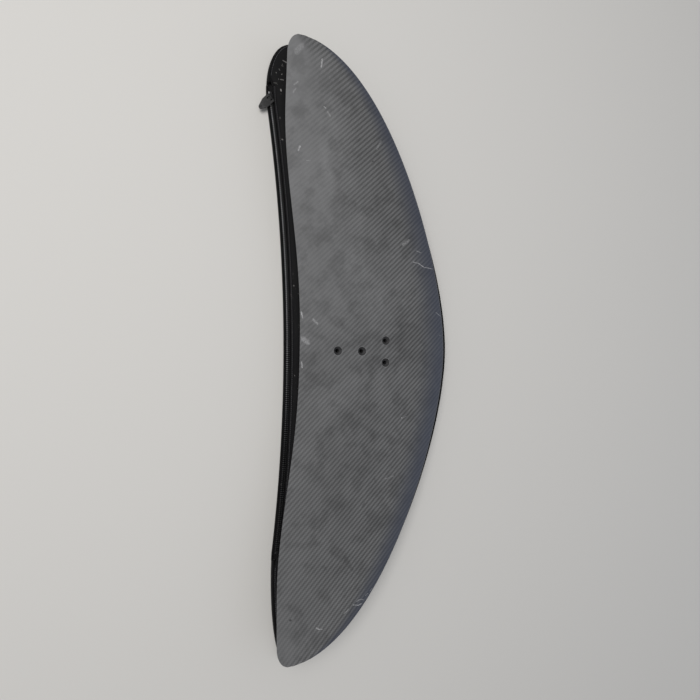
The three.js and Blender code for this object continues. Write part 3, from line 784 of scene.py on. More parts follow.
# Bits of lint on the cover, as strokes like the scuffs.
LINT = [
    (-163.5, 472.6, -157.4, 470.4, 1.2, 0.5), (-165.8, 425.4, -165.2, 422.5, 1.3, 1.0),
    (-174.2, 450.9, -173.6, 450.2, 1.0, 0.5), (-165.2, 448.7, -164.4, 449.9, 1.0, 0.6),
    (-167.2, 440.9, -161.8, 440.6, 0.9, 0.5), (-170.1, 441.1, -169.7, 440.7, 0.9, 0.6),
    (-162.5, 345.1, -160.9, 344.1, 1.2, 0.7), (-138.7, 106.6, -137.9, 106.1, 1.2, 0.7),
    (-177.2, 434.8, -172.3, 434.2, 0.8, 0.3), (-169.5, 457.6, -168.6, 455.3, 0.8, 0.4),
    (-166.4, 379.8, -165.8, 378.3, 1.0, 0.4), (-165.5, 463.4, -163.0, 463.1, 0.8, 0.3),
]


def nylon_material(name, thread, colour, rough=0.62, dust=0.5, rib=0.0, marks=None):
    material, tree, shader = new_material(name, rough, sheen=0.06, colour=colour)
    shader.inputs["Sheen Roughness"].default_value = 0.4
    shader.inputs["Specular IOR Level"].default_value = 0.12
    place = tree.place((1, 1, 1), COVER_TURN)
    x, y, z = tree.split(place)
    wave_x = ((x + z) / thread * math.pi).math("SINE")
    wave_y = (y / thread * math.pi).math("SINE")
    weave = (wave_x * wave_y).math("ABSOLUTE")
    ribs = ((y / RIB_PITCH) * math.pi).math("SINE") * rib
    cloud = tree.noise(place, 22.0, 3.0, 0.6)
    speck = tree.ease(tree.noise(place, 420.0, 2.0, 0.7), 0.70, 0.76)
    fluff = speck * tree.ease(tree.noise(place, 14.0, 2.0), 0.42, 0.62) * dust
    pale = tuple(c * 1.9 + 0.001 for c in colour)
    cloth = tree.blend((weave * 0.5 + cloud * 0.6).math("MULTIPLY", 0.8, clamp=True), colour, pale)
    if marks:
        here_x, here_y, _ = tree.split(tree.place())
        wobble = (tree.noise(place, 300.0) - 0.5) * 0.0016
        fluff = fluff.math("MAXIMUM", scratch_mask(tree, here_x, here_y, wobble, marks) * 0.6)
    dusty = tree.blend(fluff, cloth, DUST_GREY)
    feed(tree, shader, colour=dusty, rough=rough + (cloud - 0.5) * 0.25,
         height=weave * WEAVE_HEIGHT + ribs * RIB_HEIGHT + cloud * PUCKER_HEIGHT, strength=0.8)
    return material


shell_nylon = nylon_material("shell_nylon", 0.0005, (0.0022, 0.0022, 0.0028), dust=0.8, marks=LINT)
binding_nylon = nylon_material("binding_nylon", 0.0006, (0.0020, 0.0020, 0.0023), 0.70, 0.35, 1.0)
tape_nylon = nylon_material("tape_nylon", 0.0005, (0.0020, 0.0020, 0.0024), 0.75, 0.3, 0.7)
thread_black = nylon_material("thread", 0.0003, (0.085, 0.085, 0.092), 0.5, 0.0)


print("lint strokes:", len(LINT))

# %% [markdown]
# The slider is a painted casting, the tab moulded rubber and the teeth moulded plastic. All
# have a fine grain. The slider and tab have lighter worn places; the teeth get a painted
# highlight, only on the outer row's crowns, fading away from the slider.

# %% Moulded and painted materials
GRAIN_HEIGHT = 0.00003
TEETH_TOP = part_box("zip_tape_upper")[0].z + 0.00245
OUTER_CROWN = 0.0019     # the outer row's crowns stand this far out from the zip's middle line
# The colour of the highlight painted on the teeth's crowns.
CROWN_HIGHLIGHT = (0.46, 0.46, 0.48)


def moulded_material(name, colour, rough, metal=0.0):
    material, tree, shader = new_material(name, rough, metal=metal, colour=colour)
    place = tree.place()
    grain = tree.noise(place, 1500.0, 3.0, 0.6)
    wear_and_highlight = tree.ease(tree.noise(place, 260.0, 3.0, 0.7), 0.62, 0.74)
    worn_and_highlit = tree.blend(wear_and_highlight * 0.5, colour, tuple(c * 3 + 0.03 for c in colour))
    feed(tree, shader, colour=worn_and_highlit, rough=rough + (grain - 0.5) * 0.3, height=grain * GRAIN_HEIGHT)
    return material


def tooth_material():
    """Black moulded plastic. The outer row's crowns get a painted highlight, most near the slider."""
    colour = (0.006, 0.006, 0.007)
    material, tree, shader = new_material("tooth_plastic", 0.25, coat=0.2, colour=colour)
    place = tree.place()
    x, y, z = tree.split(place)
    from_x, from_y = x - zip_centre.x, y - zip_centre.y
    across = (from_x * from_x + from_y * from_y).math("SQRT") - ZIP_RADIUS
    # A painted highlight on the outer row's crowns, stronger towards the slider.
    crown = 1 - tree.ease((across + OUTER_CROWN).math("ABSOLUTE"), 0.0004, 0.0011)
    glint_noise = tree.noise(place, 60.0, 3.0, 0.7)
    wear_and_highlight = crown * tree.ease(z, TEETH_TOP - 0.0005, TEETH_TOP - 0.0001) * (0.15 + glint_noise * 1.3)
    wear_and_highlight = wear_and_highlight * (0.08 + tree.ease(y, -0.17, 0.06) * 0.92)
    worn_and_highlit = tree.blend(wear_and_highlight, colour, CROWN_HIGHLIGHT)
    grain = tree.noise(place, 1500.0, 3.0, 0.6)
    feed(tree, shader, colour=worn_and_highlit, rough=0.22 + grain * 0.2, height=grain * GRAIN_HEIGHT)
    return material


tooth_plastic = tooth_material()
slider_paint = moulded_material("slider_paint", (0.010, 0.010, 0.011), 0.35, metal=0.4)
tab_rubber = moulded_material("tab_rubber", (0.006, 0.006, 0.007), 0.55)
print("tooth crowns at, mm:", round(TEETH_TOP / MM, 2))

# %% [markdown]
# A padded panel is foam between two cloths, sewn flat along its edge, so it swells away from
# the seam and lies slack in the middle. The top panel is pressed down where the wing's belly
# lies on it. Each panel is a grid across the cover and along it, whose height follows the
# distance from its edge; a few fixed waves give the cloth its low soft creases.

# %% Padded panels
ACROSS, ALONG = 64, 240
BINDING = 0.0022          # the panels stop this far inside the cover's edge
ZIP_OPEN = 0.0052         # the top panel's edge stands this far in from the zip's middle line
OPEN_PAST_TOP, OPEN_PAST_END, CLOSING_RUN = 0.010, 0.006, 0.018


def ripple(x, y, seed):
    """Low soft creases in cloth, from a few fixed waves."""
    rng = np.random.default_rng(seed)
    total = np.zeros_like(x)
    for _ in range(9):
        turn, pitch, shift = rng.uniform(0, np.pi), rng.uniform(0.025, 0.11), rng.uniform(0, 6.3)
        total += np.sin((x * math.cos(turn) + y * math.sin(turn)) / pitch * 2 * np.pi + shift) * pitch
    return total / 0.6


def panel_grid(rear_gap):
    """Panel points in the cover's own axes, and how far each is from the panel's edge."""
    u = np.linspace(0, 1, ACROSS) * np.pi
    u = (1 - np.cos(u)) / 2
    v = np.sin(np.linspace(-np.pi / 2, np.pi / 2, ALONG))
    v = v * 0.55 + np.linspace(-1, 1, ALONG) * 0.45
    u, v = np.meshgrid(u, v)
    y = v * (COVER_HALF - BINDING)
    front = cover_front_x(y) - BINDING
    rear = np.minimum(cover_rear_x(y) + rear_gap(y), front)
    x = front + (rear - front) * u
    along_end = COVER_HALF - BINDING - np.abs(y)
    edge = np.minimum(np.minimum(front - x, x - rear), along_end * 1.5)
    return x, y, np.maximum(edge, 0)


def beside_zip(y):
    """1 along the open length of the zip, 0 past its ends."""
    past = np.maximum(y - ZIP_TOP - OPEN_PAST_TOP, ZIP_END - OPEN_PAST_END - y)
    return 1 - smooth_step(past / CLOSING_RUN)


def top_rear_gap(y):
    return BINDING + beside_zip(y) * (ZIP_TO_EDGE + ZIP_OPEN - BINDING)


def belly_z(x, y):
    """Height of the wing's underside over points in the wing's axes, high where there is none."""
    s = (leading_x(y) - x) / np.maximum(chord(y), 1e-6)
    inside = (s > 0.001) & (s < 0.999) & (np.abs(y) < half_span * 0.995)
    s, yy = np.where(inside, s, 0.5), np.where(inside, y, 0.0)
    return np.where(inside, middle_z(s, yy) - half_thickness(s, yy), 1.0)


print("panel grid:", ACROSS, "by", ALONG)

# %% [markdown]
# The top panel is the one that shows. Its seams draw the cloth down beside the zip, and where
# the wing lies on it the cloth stops just short of the wing's underside. A cloth simulation
# could find that shape; pressing the grid down to a known surface gives it at once.

# %% Top panel
TOP_SEAM_Z, TOP_FACE_Z, LINING_Z = 0.0078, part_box("cover_top_shell")[1].z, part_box("cover_top_lining")[0].z
TOP_SWELL, SWELL_RUN, CREASE = 0.0022, 0.006, 0.0011
ZIP_SEAM_IN = 0.0016      # the seam beside the zip, in from the panel's edge
SEAM_WIDTH, SEAM_DEPTH = 0.0009, 0.0009
BELLY_GAP, CLOTH = 0.0003, 0.0004


def cover_top_panel():
    x, y, edge = panel_grid(top_rear_gap)
    swell = 1 - np.exp(-edge / SWELL_RUN)
    seam = np.exp(-((edge - ZIP_SEAM_IN) / SEAM_WIDTH) ** 2) * SEAM_DEPTH
    crown = TOP_SEAM_Z + (TOP_FACE_Z + TOP_SWELL - TOP_SEAM_Z) * swell - seam
    crown += ripple(x, y, 3) * CREASE * swell
    placed = turned(np.stack([x, y, crown], 2))
    room = belly_z(placed[..., 0], placed[..., 1]) - BELLY_GAP
    placed[..., 2] = np.minimum(placed[..., 2], room)
    under = placed.copy()
    under[..., 2] = np.minimum(LINING_Z, placed[..., 2] - CLOTH)
    piece = make_piece("cover_top_panel", *shell_between(placed, under), shell_nylon)
    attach(piece, "cover")
    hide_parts("cover_top_shell", "cover_top_foam", "cover_top_lining")
    return piece


top_panel = cover_top_panel()
print("top panel faces:", len(top_panel.data.polygons))

# %% [markdown]
# The bottom panel lies flat on the floor with its hem turned up a little. Beside the zip its
# top side comes down to a thin lip, which leaves room for the lower tape, the teeth and the
# slider's lower plate. The same grid is used again with other heights.

# %% Bottom panel
LIP_Z, LIP_FROM, LIP_RUN = 0.0014, 0.006, 0.010
HEM_Z, HEM_RUN = 0.0012, 0.003


def cover_bottom_panel():
    x, y, edge = panel_grid(lambda y: BINDING + y * 0)
    near_zip = beside_zip(y) * smooth_step(1 - (x - cover_rear_x(y) - LIP_FROM) / LIP_RUN)
    inner_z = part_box("cover_bottom_lining")[1].z
    top = inner_z - near_zip * (inner_z - LIP_Z)
    base = HEM_Z * np.exp(-edge / HEM_RUN)
    placed = turned(np.stack([x, y, top], 2))
    under = turned(np.stack([x, y, base], 2))
    piece = make_piece("cover_bottom_panel", *shell_between(placed, under), shell_nylon)
    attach(piece, "cover")
    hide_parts("cover_bottom_shell", "cover_bottom_foam", "cover_bottom_lining")
    return piece


bottom_panel = cover_bottom_panel()
print("bottom panel faces:", len(bottom_panel.data.polygons))

# %% [markdown]
# The edge is finished with a folded tape, sewn through everything. Along the zip a lower
# fold of it only covers the edge of the lower zip tape. Both are a rounded fold swept along
# the outline, the high one with a slight waver, as a sewn tape has.

# %% Binding
LOW_FOLD, LOW_LEAN = 0.0015, 0.0003
HIGH_FOLD, HIGH_LEAN, BELOW_FACE = 0.0052, 0.0012, 0.0012
FOLD_FOOT_Z, WAVER, WAVER_SPAN, SPARE = 0.0004, 0.0002, 9, 20
OUTLINE_POINTS, REAR_OF = 900, -0.05
FOLD_PAST_TOP, FOLD_PAST_END = 0.016, 0.010


def sweep_section(name, path, normals, section, material):
    """Sweeps a closed section of (outward, height) points along a path in the cover's axes."""
    rings = []
    for (px, py), (nx, ny), points in zip(path, normals, section):
        rings.append([(px + nx * out, py + ny * out, z) for out, z in points])
    rings = turned(np.array(rings))
    rows, columns = rings.shape[:2]
    faces = grid_faces(rows, columns, close_columns=True)
    faces += [list(range(columns))[::-1], [(rows - 1) * columns + j for j in range(columns)]]
    return make_piece(name, rings.reshape(-1, 3), faces, material)


def fold_section(width, low, high, lean, sides=14):
    """A rounded fold of tape from low to high, standing in from the outline by its width."""
    turn = np.linspace(0, 2 * np.pi, sides, endpoint=False)
    middle, tall = (low + high) / 2, (high - low) / 2
    out = width / 2 * (np.sign(np.cos(turn)) * np.abs(np.cos(turn)) ** 0.6 - 1)
    z = middle + tall * np.sign(np.sin(turn)) * np.abs(np.sin(turn)) ** 0.7
    return np.stack([out - lean * (z - low) / max(high - low, 1e-9), z], 1)


def along_zip(loop, past_top, past_end):
    """True for the outline's points along the zip and a little past its two ends."""
    x, y = loop.T
    return (x < REAR_OF) & (y < ZIP_TOP + past_top) & (y > ZIP_END - past_end)


def bindings():
    loop = outline_points(OUTLINE_POINTS)
    normals = loop_normals(loop)
    rear = along_zip(loop, FOLD_PAST_TOP, FOLD_PAST_END)
    first = int(np.flatnonzero(rear & ~np.roll(rear, 1))[0])
    loop, normals, rear = (np.roll(a, -first, 0) for a in (loop, normals, rear))
    count = int(rear.sum())
    low_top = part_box("rear_binding")[1].z
    low_fold = [fold_section(LOW_FOLD, FOLD_FOOT_Z, low_top, LOW_LEAN)] * (count + 2)
    rear_piece = sweep_section("rear_binding_tape", loop[:count + 2], normals[:count + 2],
                               low_fold, binding_nylon)
    rest = slice(count, len(loop))
    rng = np.random.default_rng(5)
    draws = rng.normal(0, 1, len(loop) - count + 2 * SPARE)
    wave = np.convolve(draws, np.ones(WAVER_SPAN) / WAVER_SPAN, "same")[SPARE:-SPARE] * WAVER
    high_fold = [fold_section(HIGH_FOLD, FOLD_FOOT_Z, TOP_FACE_Z - BELOW_FACE + w, HIGH_LEAN) for w in wave]
    front_piece = sweep_section("front_binding_tape", loop[rest], normals[rest],
                                high_fold, binding_nylon)
    for piece, node in ((rear_piece, "rear_binding"), (front_piece, "front_binding")):
        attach(piece, "cover")
        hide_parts(node)
    return rear_piece, front_piece


folds = bindings()
print("binding faces:", [len(fold.data.polygons) for fold in folds])

# %% [markdown]
# Teeth and stitches are one small shape over and over. Copying by hand is slow to change, so
# a node group measures the path, sets the shape along it at a pitch and turns each to follow
# it. Its sizes are named inputs, and the result is made a plain mesh, which an export keeps.

# %% Geometry Nodes: one shape repeated along a path
def repeat_tree(name):
    """A node group that sets a shape along a path at a pitch, its Y along the path."""
    group = bpy.data.node_groups.new(name, "GeometryNodeTree")
    face = group.interface
    for label, kind in (("Path", "Geometry"), ("Shape", "Object"), ("Pitch", "Float"),
                        ("Start", "Float"), ("Jitter", "Float"), ("Finish", "Material")):
        face.new_socket(label, in_out="INPUT", socket_type="NodeSocket" + kind)
    face.new_socket("Result", in_out="OUTPUT", socket_type="NodeSocketGeometry")
    tree = Tree(group)
    source = group.nodes.new("NodeGroupInput")
    path, shape, pitch, start, jitter, finish = [Wire(tree, source.outputs[k]) for k in range(6)]
    curve = tree.add("GeometryNodeMeshToCurve", None, {"Mesh": path})
    length = tree.add("GeometryNodeCurveLength", None, [curve])
    trimmed = tree.add("GeometryNodeTrimCurve", {"mode": "LENGTH"}, {"Curve": curve, 4: start, 5: length})
    spaced = tree.add("GeometryNodeResampleCurve", {"mode": "LENGTH"}, {"Curve": trimmed, "Length": pitch})
    tangent = tree.add("GeometryNodeInputTangent")
    turn = tree.add("FunctionNodeAlignRotationToVector", {"axis": "Y", "pivot_axis": "Z"},
                    {"Vector": tangent})
    item = tree.add("GeometryNodeObjectInfo", None, {"Object": shape}, out=4)
    set_down = tree.add("GeometryNodeInstanceOnPoints", None,
                        {"Points": spaced, "Instance": item, "Rotation": turn})
    low = tree.add("ShaderNodeCombineXYZ", None, [0.0, 0.0, 0 - jitter])
    high = tree.add("ShaderNodeCombineXYZ", None, [0.0, 0.0, jitter])
    shake = tree.add("FunctionNodeRandomValue", {"data_type": "FLOAT_VECTOR"},
                     {0: low, 1: high, "Seed": 7})
    shaken = tree.add("GeometryNodeRotateInstances", None, {"Instances": set_down, "Rotation": shake})
    real = tree.add("GeometryNodeRealizeInstances", None, [shaken])
    painted = tree.add("GeometryNodeSetMaterial", None, {"Geometry": real, "Material": finish})
    sink = group.nodes.new("NodeGroupOutput")
    group.links.new(painted.socket, sink.inputs[0])
    return group


repeat_group = repeat_tree("repeat_along_path")


def repeat_along(name, points, shape, pitch, material, start=0.0, jitter=0.0):
    """Runs the repeat on a path and returns the plain mesh piece that comes out."""
    mesh = bpy.data.meshes.new(name + "_path")
    mesh.from_pydata([tuple(p) for p in points], [(k, k + 1) for k in range(len(points) - 1)], [])
    path = bpy.data.objects.new(name, mesh)
    scene.collection.objects.link(path)
    modifier = path.modifiers.new("repeat", "NODES")
    modifier.node_group = repeat_group
    values = {"Shape": shape, "Pitch": pitch, "Start": start, "Jitter": jitter, "Finish": material}
    for item in repeat_group.interface.items_tree:
        if item.name in values and item.in_out == "INPUT":
            modifier[item.identifier] = values[item.name]
    keep_result(path, modifier)
    print(name, "faces:", len(path.data.polygons))
    return path


def stamp(name, vertices, faces):
    """A small shape for repeating, kept out of the scene."""
    mesh = bpy.data.meshes.new(name)
    mesh.from_pydata(vertices, [], faces)
    work = bmesh.new()
    work.from_mesh(mesh)
    bmesh.ops.recalc_face_normals(work, faces=work.faces)
    work.to_mesh(mesh)
    work.free()
    return bpy.data.objects.new(name, mesh)

# %% [markdown]
# A zip is two woven tapes. Each is a thin strip along the arc, lifted where its edge meets
# the teeth. The upper one runs on under the top panel, to which it is sewn.

# %% Zip tapes
TAPE_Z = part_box("zip_tape_upper")[0].z
TAPE_THICK, TAPE_PAST_END = 0.0006, 0.006


def arc_points(offset, low, high, z, count=160):
    """Points along the zip's arc at an offset from its middle line, placed."""
    y = np.linspace(low, high, count)
    angle = np.arcsin(y / ZIP_RADIUS)
    x = ZIP_X - ZIP_RADIUS + (ZIP_RADIUS + offset) * np.cos(angle)
    return turned(np.stack([x, (ZIP_RADIUS + offset) * np.sin(angle), np.full(count, z)], 1))


def zip_tape(name, node, offsets, lifts):
    low, high = ZIP_END - TAPE_PAST_END, ZIP_TOP + TAPE_PAST_END
    top = np.stack([arc_points(o, low, high, TAPE_Z + TAPE_THICK + z) for o, z in zip(offsets, lifts)], 1)
    base = top.copy()
    base[..., 2] -= TAPE_THICK
    piece = make_piece(name, *shell_between(top[:, ::-1], base[:, ::-1]), tape_nylon)
    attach(piece, "cover")
    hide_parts(node)
    return piece


upper_offsets = np.array([0.0018, 0.0030, 0.0045, 0.0062, 0.0082, 0.0098])
upper_lifts = np.array([0.0006, 0.0002, 0.0000, 0.0000, 0.0001, 0.0002])
lower_offsets = -np.array([0.0018, 0.0027, 0.0036, 0.0044, 0.0050])[::-1]
lower_lifts = np.array([0.0006, 0.0002, 0.0, 0.0, 0.0])[::-1]
upper_tape = zip_tape("upper_tape", "zip_tape_upper", upper_offsets, upper_lifts)
lower_tape = zip_tape("lower_tape", "zip_tape_lower", lower_offsets, lower_lifts)
print("tape faces:", len(upper_tape.data.polygons), len(lower_tape.data.polygons))

# %% [markdown]
# Along each tape's edge runs a row of moulded teeth. One tooth is modelled, with a narrow
# waist behind its head, and repeated along the arc from both sides. The two rows start half a
# pitch out of step at the slider's end. Each is then spaced evenly over its own length, so
# they drift back into step towards the far end, where real teeth would still lock.

# %% Zip teeth
TOOTH_PITCH, TOOTH_WIDER = 0.0034, 1.25
TOOTH_FOOT, TOOTH_SIDE, TOOTH_CROWN = -0.0010, 0.00105, 0.00125
ROW_START, TOOTH_UP = 0.0004, 0.0012


def tooth_shape():
    """One moulded tooth: a foot on the tape and a rounded head that reaches past the middle."""
    half = [(0.0026, 0.00062), (0.0012, 0.00062), (0.0004, 0.00040), (-0.0003, 0.00058),
            (-0.0009, 0.00052)]
    outline = [*half, (-0.0011, 0.0), *((x, -y) for x, y in reversed(half))]
    outline = [(x, y * TOOTH_WIDER) for x, y in outline]
    top = [(x, y, TOOTH_SIDE) for x, y in outline]
    crown = [(x * 0.88 + 0.0001, y * 0.55, TOOTH_CROWN) for x, y in outline]
    base = [(x, y, TOOTH_FOOT) for x, y in outline]
    count = len(outline)
    faces = [list(range(count)), [3 * count - 1 - k for k in range(count)]]
    for k in range(count):
        k2 = (k + 1) % count
        faces.append([k, k2, count + k2, count + k])
        faces.append([count + k, count + k2, 2 * count + k2, 2 * count + k])
    return stamp("tooth", crown + top + base, faces)


tooth = tooth_shape()
tooth_z = TAPE_Z + TOOTH_UP


def tooth_row(name, node, side):
    points = arc_points(0.0, ZIP_END, ZIP_TOP, tooth_z, 300)
    if side < 0:
        points = points[::-1]
    start = TOOTH_PITCH / 2 if side < 0 else ROW_START
    piece = repeat_along(name, points, tooth, TOOTH_PITCH, tooth_plastic, start)
    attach(piece, "cover")
    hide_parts(node)
    return piece


tooth_row("teeth_upper", "zip_teeth_upper", 1)
tooth_row("teeth_lower", "zip_teeth_lower", -1)
for stop in ("zip_top_stop", "zip_end_stop"):
    paint(frame["nodes"][stop], tooth_plastic)

# %% [markdown]
# Stitches are short capsules of thread, sunk a little into the cloth, three to the
# centimetre. They hold the binding on and draw a line beside the zip. Each path is dropped
# onto the top panel with rays, so that the stitches follow its swells.

# %% Stitches
STITCH_PITCH, STITCH_SHAKE = 0.0032, 0.06
RAY_FROM, ABOVE_CLOTH, SEAM_FROM_EDGE = 0.05, 0.00005, 0.0062
SEAM_PAST_TOP, SEAM_PAST_END = 0.030, 0.024


def stitch_shape():
    sides, rings = 6, [(-0.00105, 0.00012), (-0.0008, 0.00028), (0.0008, 0.00028), (0.00105, 0.00012)]
    turn = np.linspace(0, 2 * np.pi, sides, endpoint=False)
    vertices = [(r * math.cos(a), y, r * math.sin(a)) for y, r in rings for a in turn]
    faces = grid_faces(len(rings), sides, close_columns=True)
    faces += [list(range(sides))[::-1], [3 * sides + k for k in range(sides)]]
    return stamp("stitch", vertices, faces)


stitch = stitch_shape()


def on_top_panel(points):
    """Lifts points in the cover's axes onto the top panel."""
    points = np.asarray(points)
    world = turned(np.concatenate([points, np.zeros((len(points), 1))], 1))
    graph = bpy.context.evaluated_depsgraph_get()
    panel = top_panel.evaluated_get(graph)
    for p in world:
        hit, place, *_ = panel.ray_cast(Vector((p[0], p[1], RAY_FROM)), Vector((0, 0, -1)))
        p[2] = (place.z if hit else TOP_SEAM_Z) + ABOVE_CLOTH
    return world


def zip_side_seam():
    y = np.linspace(ZIP_END - 0.004, ZIP_TOP + 0.012, 500)
    x = cover_rear_x(y) + top_rear_gap(y) + ZIP_SEAM_IN
    piece = repeat_along("zip_side_stitches", on_top_panel(np.stack([x, y], 1)), stitch,
                         STITCH_PITCH, thread_black, jitter=STITCH_SHAKE)
    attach(piece, "cover")


def binding_seam():
    loop = outline_points(OUTLINE_POINTS)
    normals = loop_normals(loop)
    inset = loop - normals * SEAM_FROM_EDGE
    rear = along_zip(loop, SEAM_PAST_TOP, SEAM_PAST_END)
    first = int(np.flatnonzero(~rear & np.roll(rear, 1))[0])
    path = np.roll(inset, -first, 0)[:int((~rear).sum())]
    piece = repeat_along("binding_stitches", on_top_panel(path), stitch,
                         STITCH_PITCH, thread_black, jitter=STITCH_SHAKE)
    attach(piece, "cover")


zip_side_seam()
binding_seam()

# %% [markdown]
# The slider is a die casting: two rounded plates with turned-down flanges and a bridge that
# the pull tab's end bar passes under. It is drawn as bevelled blocks about the place where
# the mechanical model has it, turned to the zip's direction there. A bevel with a few
# segments gives the edges their soft cast look.

# %% Blocks with rounded edges
BEVEL_STEPS, SHARP_OVER = 3, math.radians(45)
slider_low, slider_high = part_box("zip_slider")
tab_joint = next(j for j in frame["joints"] if j["name"] == "tab_swing")
tab_pivot = Vector(tab_joint["pos_m"])
slider_turn = math.atan2(tab_pivot.y - zip_centre.y, tab_pivot.x - zip_centre.x)


def plate_part(work, outline, low, high):
    """Adds an extruded outline to a mesh being built."""
    base = [work.verts.new((x, y, low)) for x, y in outline]
    top = [work.verts.new((x, y, high)) for x, y in outline]
    work.faces.new(base[::-1])
    work.faces.new(top)
    for k in range(len(outline)):
        k2 = (k + 1) % len(outline)
        work.faces.new([base[k], base[k2], top[k2], top[k]])


def rounded_outline(width, length, corner, steps=5, taper=0.0):
    points = []
    for cx, cy, start in ((1, -1, -90), (1, 1, 0), (-1, 1, 90), (-1, -1, 180)):
        for k in range(steps + 1):
            turn = math.radians(start + 90 * k / steps)
            x = cx * (width / 2 - corner) + corner * math.cos(turn)
            y = cy * (length / 2 - corner) + corner * math.sin(turn)
            points.append((x * (1 - taper * (y / length + 0.5)), y))
    return points


def finish_hard_piece(name, work, matrix, material, body, node, bevel):
    mesh = bpy.data.meshes.new(name)
    work.to_mesh(mesh)
    work.free()
    mesh.transform(matrix)
    piece = bpy.data.objects.new(name, mesh)
    scene.collection.objects.link(piece)
    piece.data.materials.append(material)
    modifier = piece.modifiers.new("bevel", "BEVEL")
    modifier.width, modifier.segments, modifier.limit_method = bevel, BEVEL_STEPS, "ANGLE"
    keep_result(piece, modifier)
    piece.data.shade_smooth()
    piece.data.set_sharp_from_angle(angle=SHARP_OVER)
    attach(piece, body)
    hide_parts(node)
    return piece


print("slider's heading, degrees:", round(math.degrees(slider_turn), 1))

# %% [markdown]
# The slider's two plates close on the tapes from above and below, with a flange down each
# side. Its bridge is an arch, drawn as one side and its mirror image and given a width.

# %% Slider
PLATE, BRIDGE_HEIGHT, BRIDGE_HALF = 0.0010, 0.0031, 0.0011
SLIDER_HALF, SLIDER_LONG, SLIDER_CORNER, SLIDER_TAPER = 0.0044, 0.014, 0.0026, 0.12
FLANGE_OUT, FLANGE_THICK, FLANGE_LONG, FLANGE_CORNER = 0.0036, 0.0009, 0.0085, 0.0004
OVER_TAPE, INTO_PLATE = 0.0009, 0.0002


def mirrored(half):
    return [(-y, z) for y, z in reversed(half)]


def slider_piece():
    work = bmesh.new()
    low, high = slider_low.z, slider_high.z
    upper = high - BRIDGE_HEIGHT - PLATE
    outline = rounded_outline(2 * SLIDER_HALF, SLIDER_LONG, SLIDER_CORNER, taper=SLIDER_TAPER)
    plate_part(work, outline, upper, upper + PLATE)
    plate_part(work, outline, low, low + PLATE)
    for side in (1, -1):
        corners = rounded_outline(FLANGE_THICK, FLANGE_LONG, FLANGE_CORNER, 3)
        flange = [(side * FLANGE_OUT + x, y) for x, y in corners]
        plate_part(work, flange, TAPE_Z + TAPE_THICK + OVER_TAPE, upper + INTO_PLATE)
    outer = [(-0.0040, -INTO_PLATE), (-0.0040, 0.0018), (-0.0030, 0.0029), (-0.0012, BRIDGE_HEIGHT)]
    inner = [(0.0031, -INTO_PLATE), (0.0031, 0.0015), (0.0024, 0.0021), (0.0010, 0.0022)]
    arch = [*outer, *mirrored(outer), *inner, *mirrored(inner)]
    left = [work.verts.new((-BRIDGE_HALF, y, upper + PLATE + z)) for y, z in arch]
    right = [work.verts.new((BRIDGE_HALF, y, upper + PLATE + z)) for y, z in arch]
    count = len(arch)
    for k in range(count):
        k2 = (k + 1) % count
        work.faces.new([left[k], left[k2], right[k2], right[k]])
    for k in range(count // 2 - 1):
        for ring in (left, right):
            work.faces.new([ring[k], ring[k + 1], ring[count - 2 - k], ring[count - 1 - k]])
    bmesh.ops.recalc_face_normals(work, faces=work.faces)
    matrix = Matrix.Translation((tab_pivot.x, tab_pivot.y, 0)) @ Matrix.Rotation(slider_turn, 4, "Z")
    return finish_hard_piece("slider", work, matrix, slider_paint, "slider", "zip_slider",
                             0.00025)


slider = slider_piece()
print("slider faces:", len(slider.data.polygons))

# %% [markdown]
# The pull tab is a moulded tongue with a slot for the bridge, a grip of low bars and an eye
# at its end, closed by a thin web. Its flat shape is filled between three loops, raised to its
# thickness, and tilted a little about the pivot.

# %% Pull tab
BARS, FIRST_BAR, BAR_PITCH = 5, 0.0085, 0.0021
WEB_RADIUS, TAB_TILT = 0.0018, math.radians(3.5)


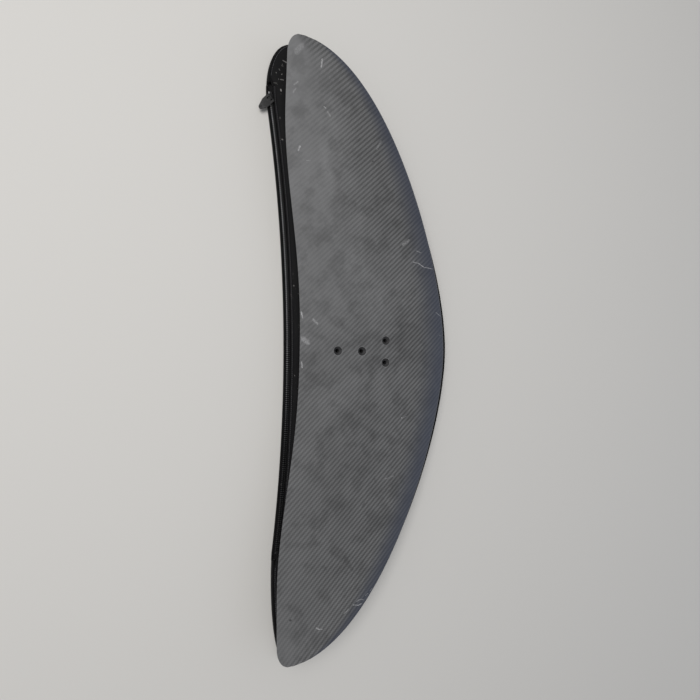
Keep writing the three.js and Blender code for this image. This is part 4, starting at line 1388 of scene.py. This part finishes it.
def pull_tab_piece():
    work = bmesh.new()
    thick, half = 0.0012, 0.0075
    start, shoulder, tip_centre, tip, eye_radius = -0.0006, 0.013, 0.0234, 0.004, 0.0016
    tip_turns = np.radians(np.linspace(-60, 60, 13))
    outer = [(start, -half + 0.001), (start + 0.001, -half), (shoulder, -half)]
    outer += [(tip_centre + tip * math.cos(t), tip * math.sin(t)) for t in tip_turns]
    outer += [(shoulder, half), (start + 0.001, half), (start, half - 0.001)]
    slot_hole = [(0.0006, -0.004), (0.0061, -0.004), (0.0061, 0.004), (0.0006, 0.004)]
    eye_turns = np.linspace(0, 2 * np.pi, 20)[:-1]
    eye = [(tip_centre + eye_radius * math.cos(t), eye_radius * math.sin(t)) for t in eye_turns]
    edges = []
    for loop in (outer, slot_hole, eye):
        ring = [work.verts.new((x, y, -thick / 2)) for x, y in loop]
        edges += [work.edges.new((ring[k], ring[(k + 1) % len(ring)])) for k in range(len(ring))]
    bmesh.ops.triangle_fill(work, edges=edges, use_beauty=True)
    bmesh.ops.dissolve_limit(work, angle_limit=0.01, verts=work.verts, edges=work.edges)
    raised = bmesh.ops.extrude_face_region(work, geom=list(work.faces))
    moved = [g for g in raised["geom"] if isinstance(g, bmesh.types.BMVert)]
    bmesh.ops.translate(work, vec=(0, 0, thick), verts=moved)
    for k in range(BARS):
        x = FIRST_BAR + k * BAR_PITCH
        bar = [(x + dx, dy) for dx, dy in rounded_outline(0.0009, 0.0098 - k * 0.0007, 0.0004, 3)]
        plate_part(work, bar, thick / 2 - 0.0002, thick / 2 + 0.0004)
    bmesh.ops.recalc_face_normals(work, faces=work.faces)
    web = [(tip_centre + WEB_RADIUS * math.cos(t), WEB_RADIUS * math.sin(t)) for t in eye_turns]
    plate_part(work, web, -thick / 2 + 0.0001, -thick / 2 + 0.0004)
    axis = Vector(tab_joint["axis"])
    heading = math.atan2(-axis.x, axis.y)
    matrix = (Matrix.Translation(tab_pivot) @ Matrix.Rotation(heading + math.pi, 4, "Z")
              @ Matrix.Rotation(TAB_TILT, 4, "Y"))
    return finish_hard_piece("tab", work, matrix, tab_rubber, "tab", "pull_tab", 0.0003)


tab = pull_tab_piece()
tab_points = np.array([v.co for v in tab.data.vertices])
print("tab box, mm:", (tab_points.min(0) / MM).round(1), (tab_points.max(0) / MM).round(1))

# %% [markdown]
# A pale floor and soft studio light: a large key overhead, a broad fill from the leading
# edge side, which adds a faint cool sheen along the nose to the blue reflection painted
# there, and an even grey world.

# %% Floor and light
FLOOR = 6.0
floor_material = new_material("floor", 0.85, colour=(0.62, 0.61, 0.59))[0]
floor_mesh = bpy.data.meshes.new("floor")
corners = [(-FLOOR, -FLOOR, 0), (FLOOR, -FLOOR, 0), (FLOOR, FLOOR, 0), (-FLOOR, FLOOR, 0)]
floor_mesh.from_pydata(corners, [], [[0, 1, 2, 3]])
floor = bpy.data.objects.new("floor", floor_mesh)
floor.data.materials.append(floor_material)
scene.collection.objects.link(floor)


def area_light(name, place, aim, size, watts, colour):
    data = bpy.data.lights.new(name, "AREA")
    data.shape, data.size, data.energy, data.color = "SQUARE", size, watts, colour
    light = bpy.data.objects.new(name, data)
    back = (Vector(place) - Vector(aim)).normalized()
    light.matrix_world = Matrix.Translation(place) @ back.to_track_quat("Z", "Y").to_matrix().to_4x4()
    scene.collection.objects.link(light)
    return light


area_light("key", (-1.1, 0.7, 2.3), (0, 0, 0), 1.5, 46.0, (1.0, 0.98, 0.95))
area_light("fill", (2.0, -0.4, 1.3), (0, 0, 0), 1.8, 3.0, (0.62, 0.76, 1.0))
world = bpy.data.worlds.new("studio")
world.use_nodes = True
world.node_tree.nodes["Background"].inputs["Color"].default_value = (0.80, 0.81, 0.83, 1.0)
world.node_tree.nodes["Background"].inputs["Strength"].default_value = 0.48
scene.world = world
scene.view_settings.view_transform = "Standard"
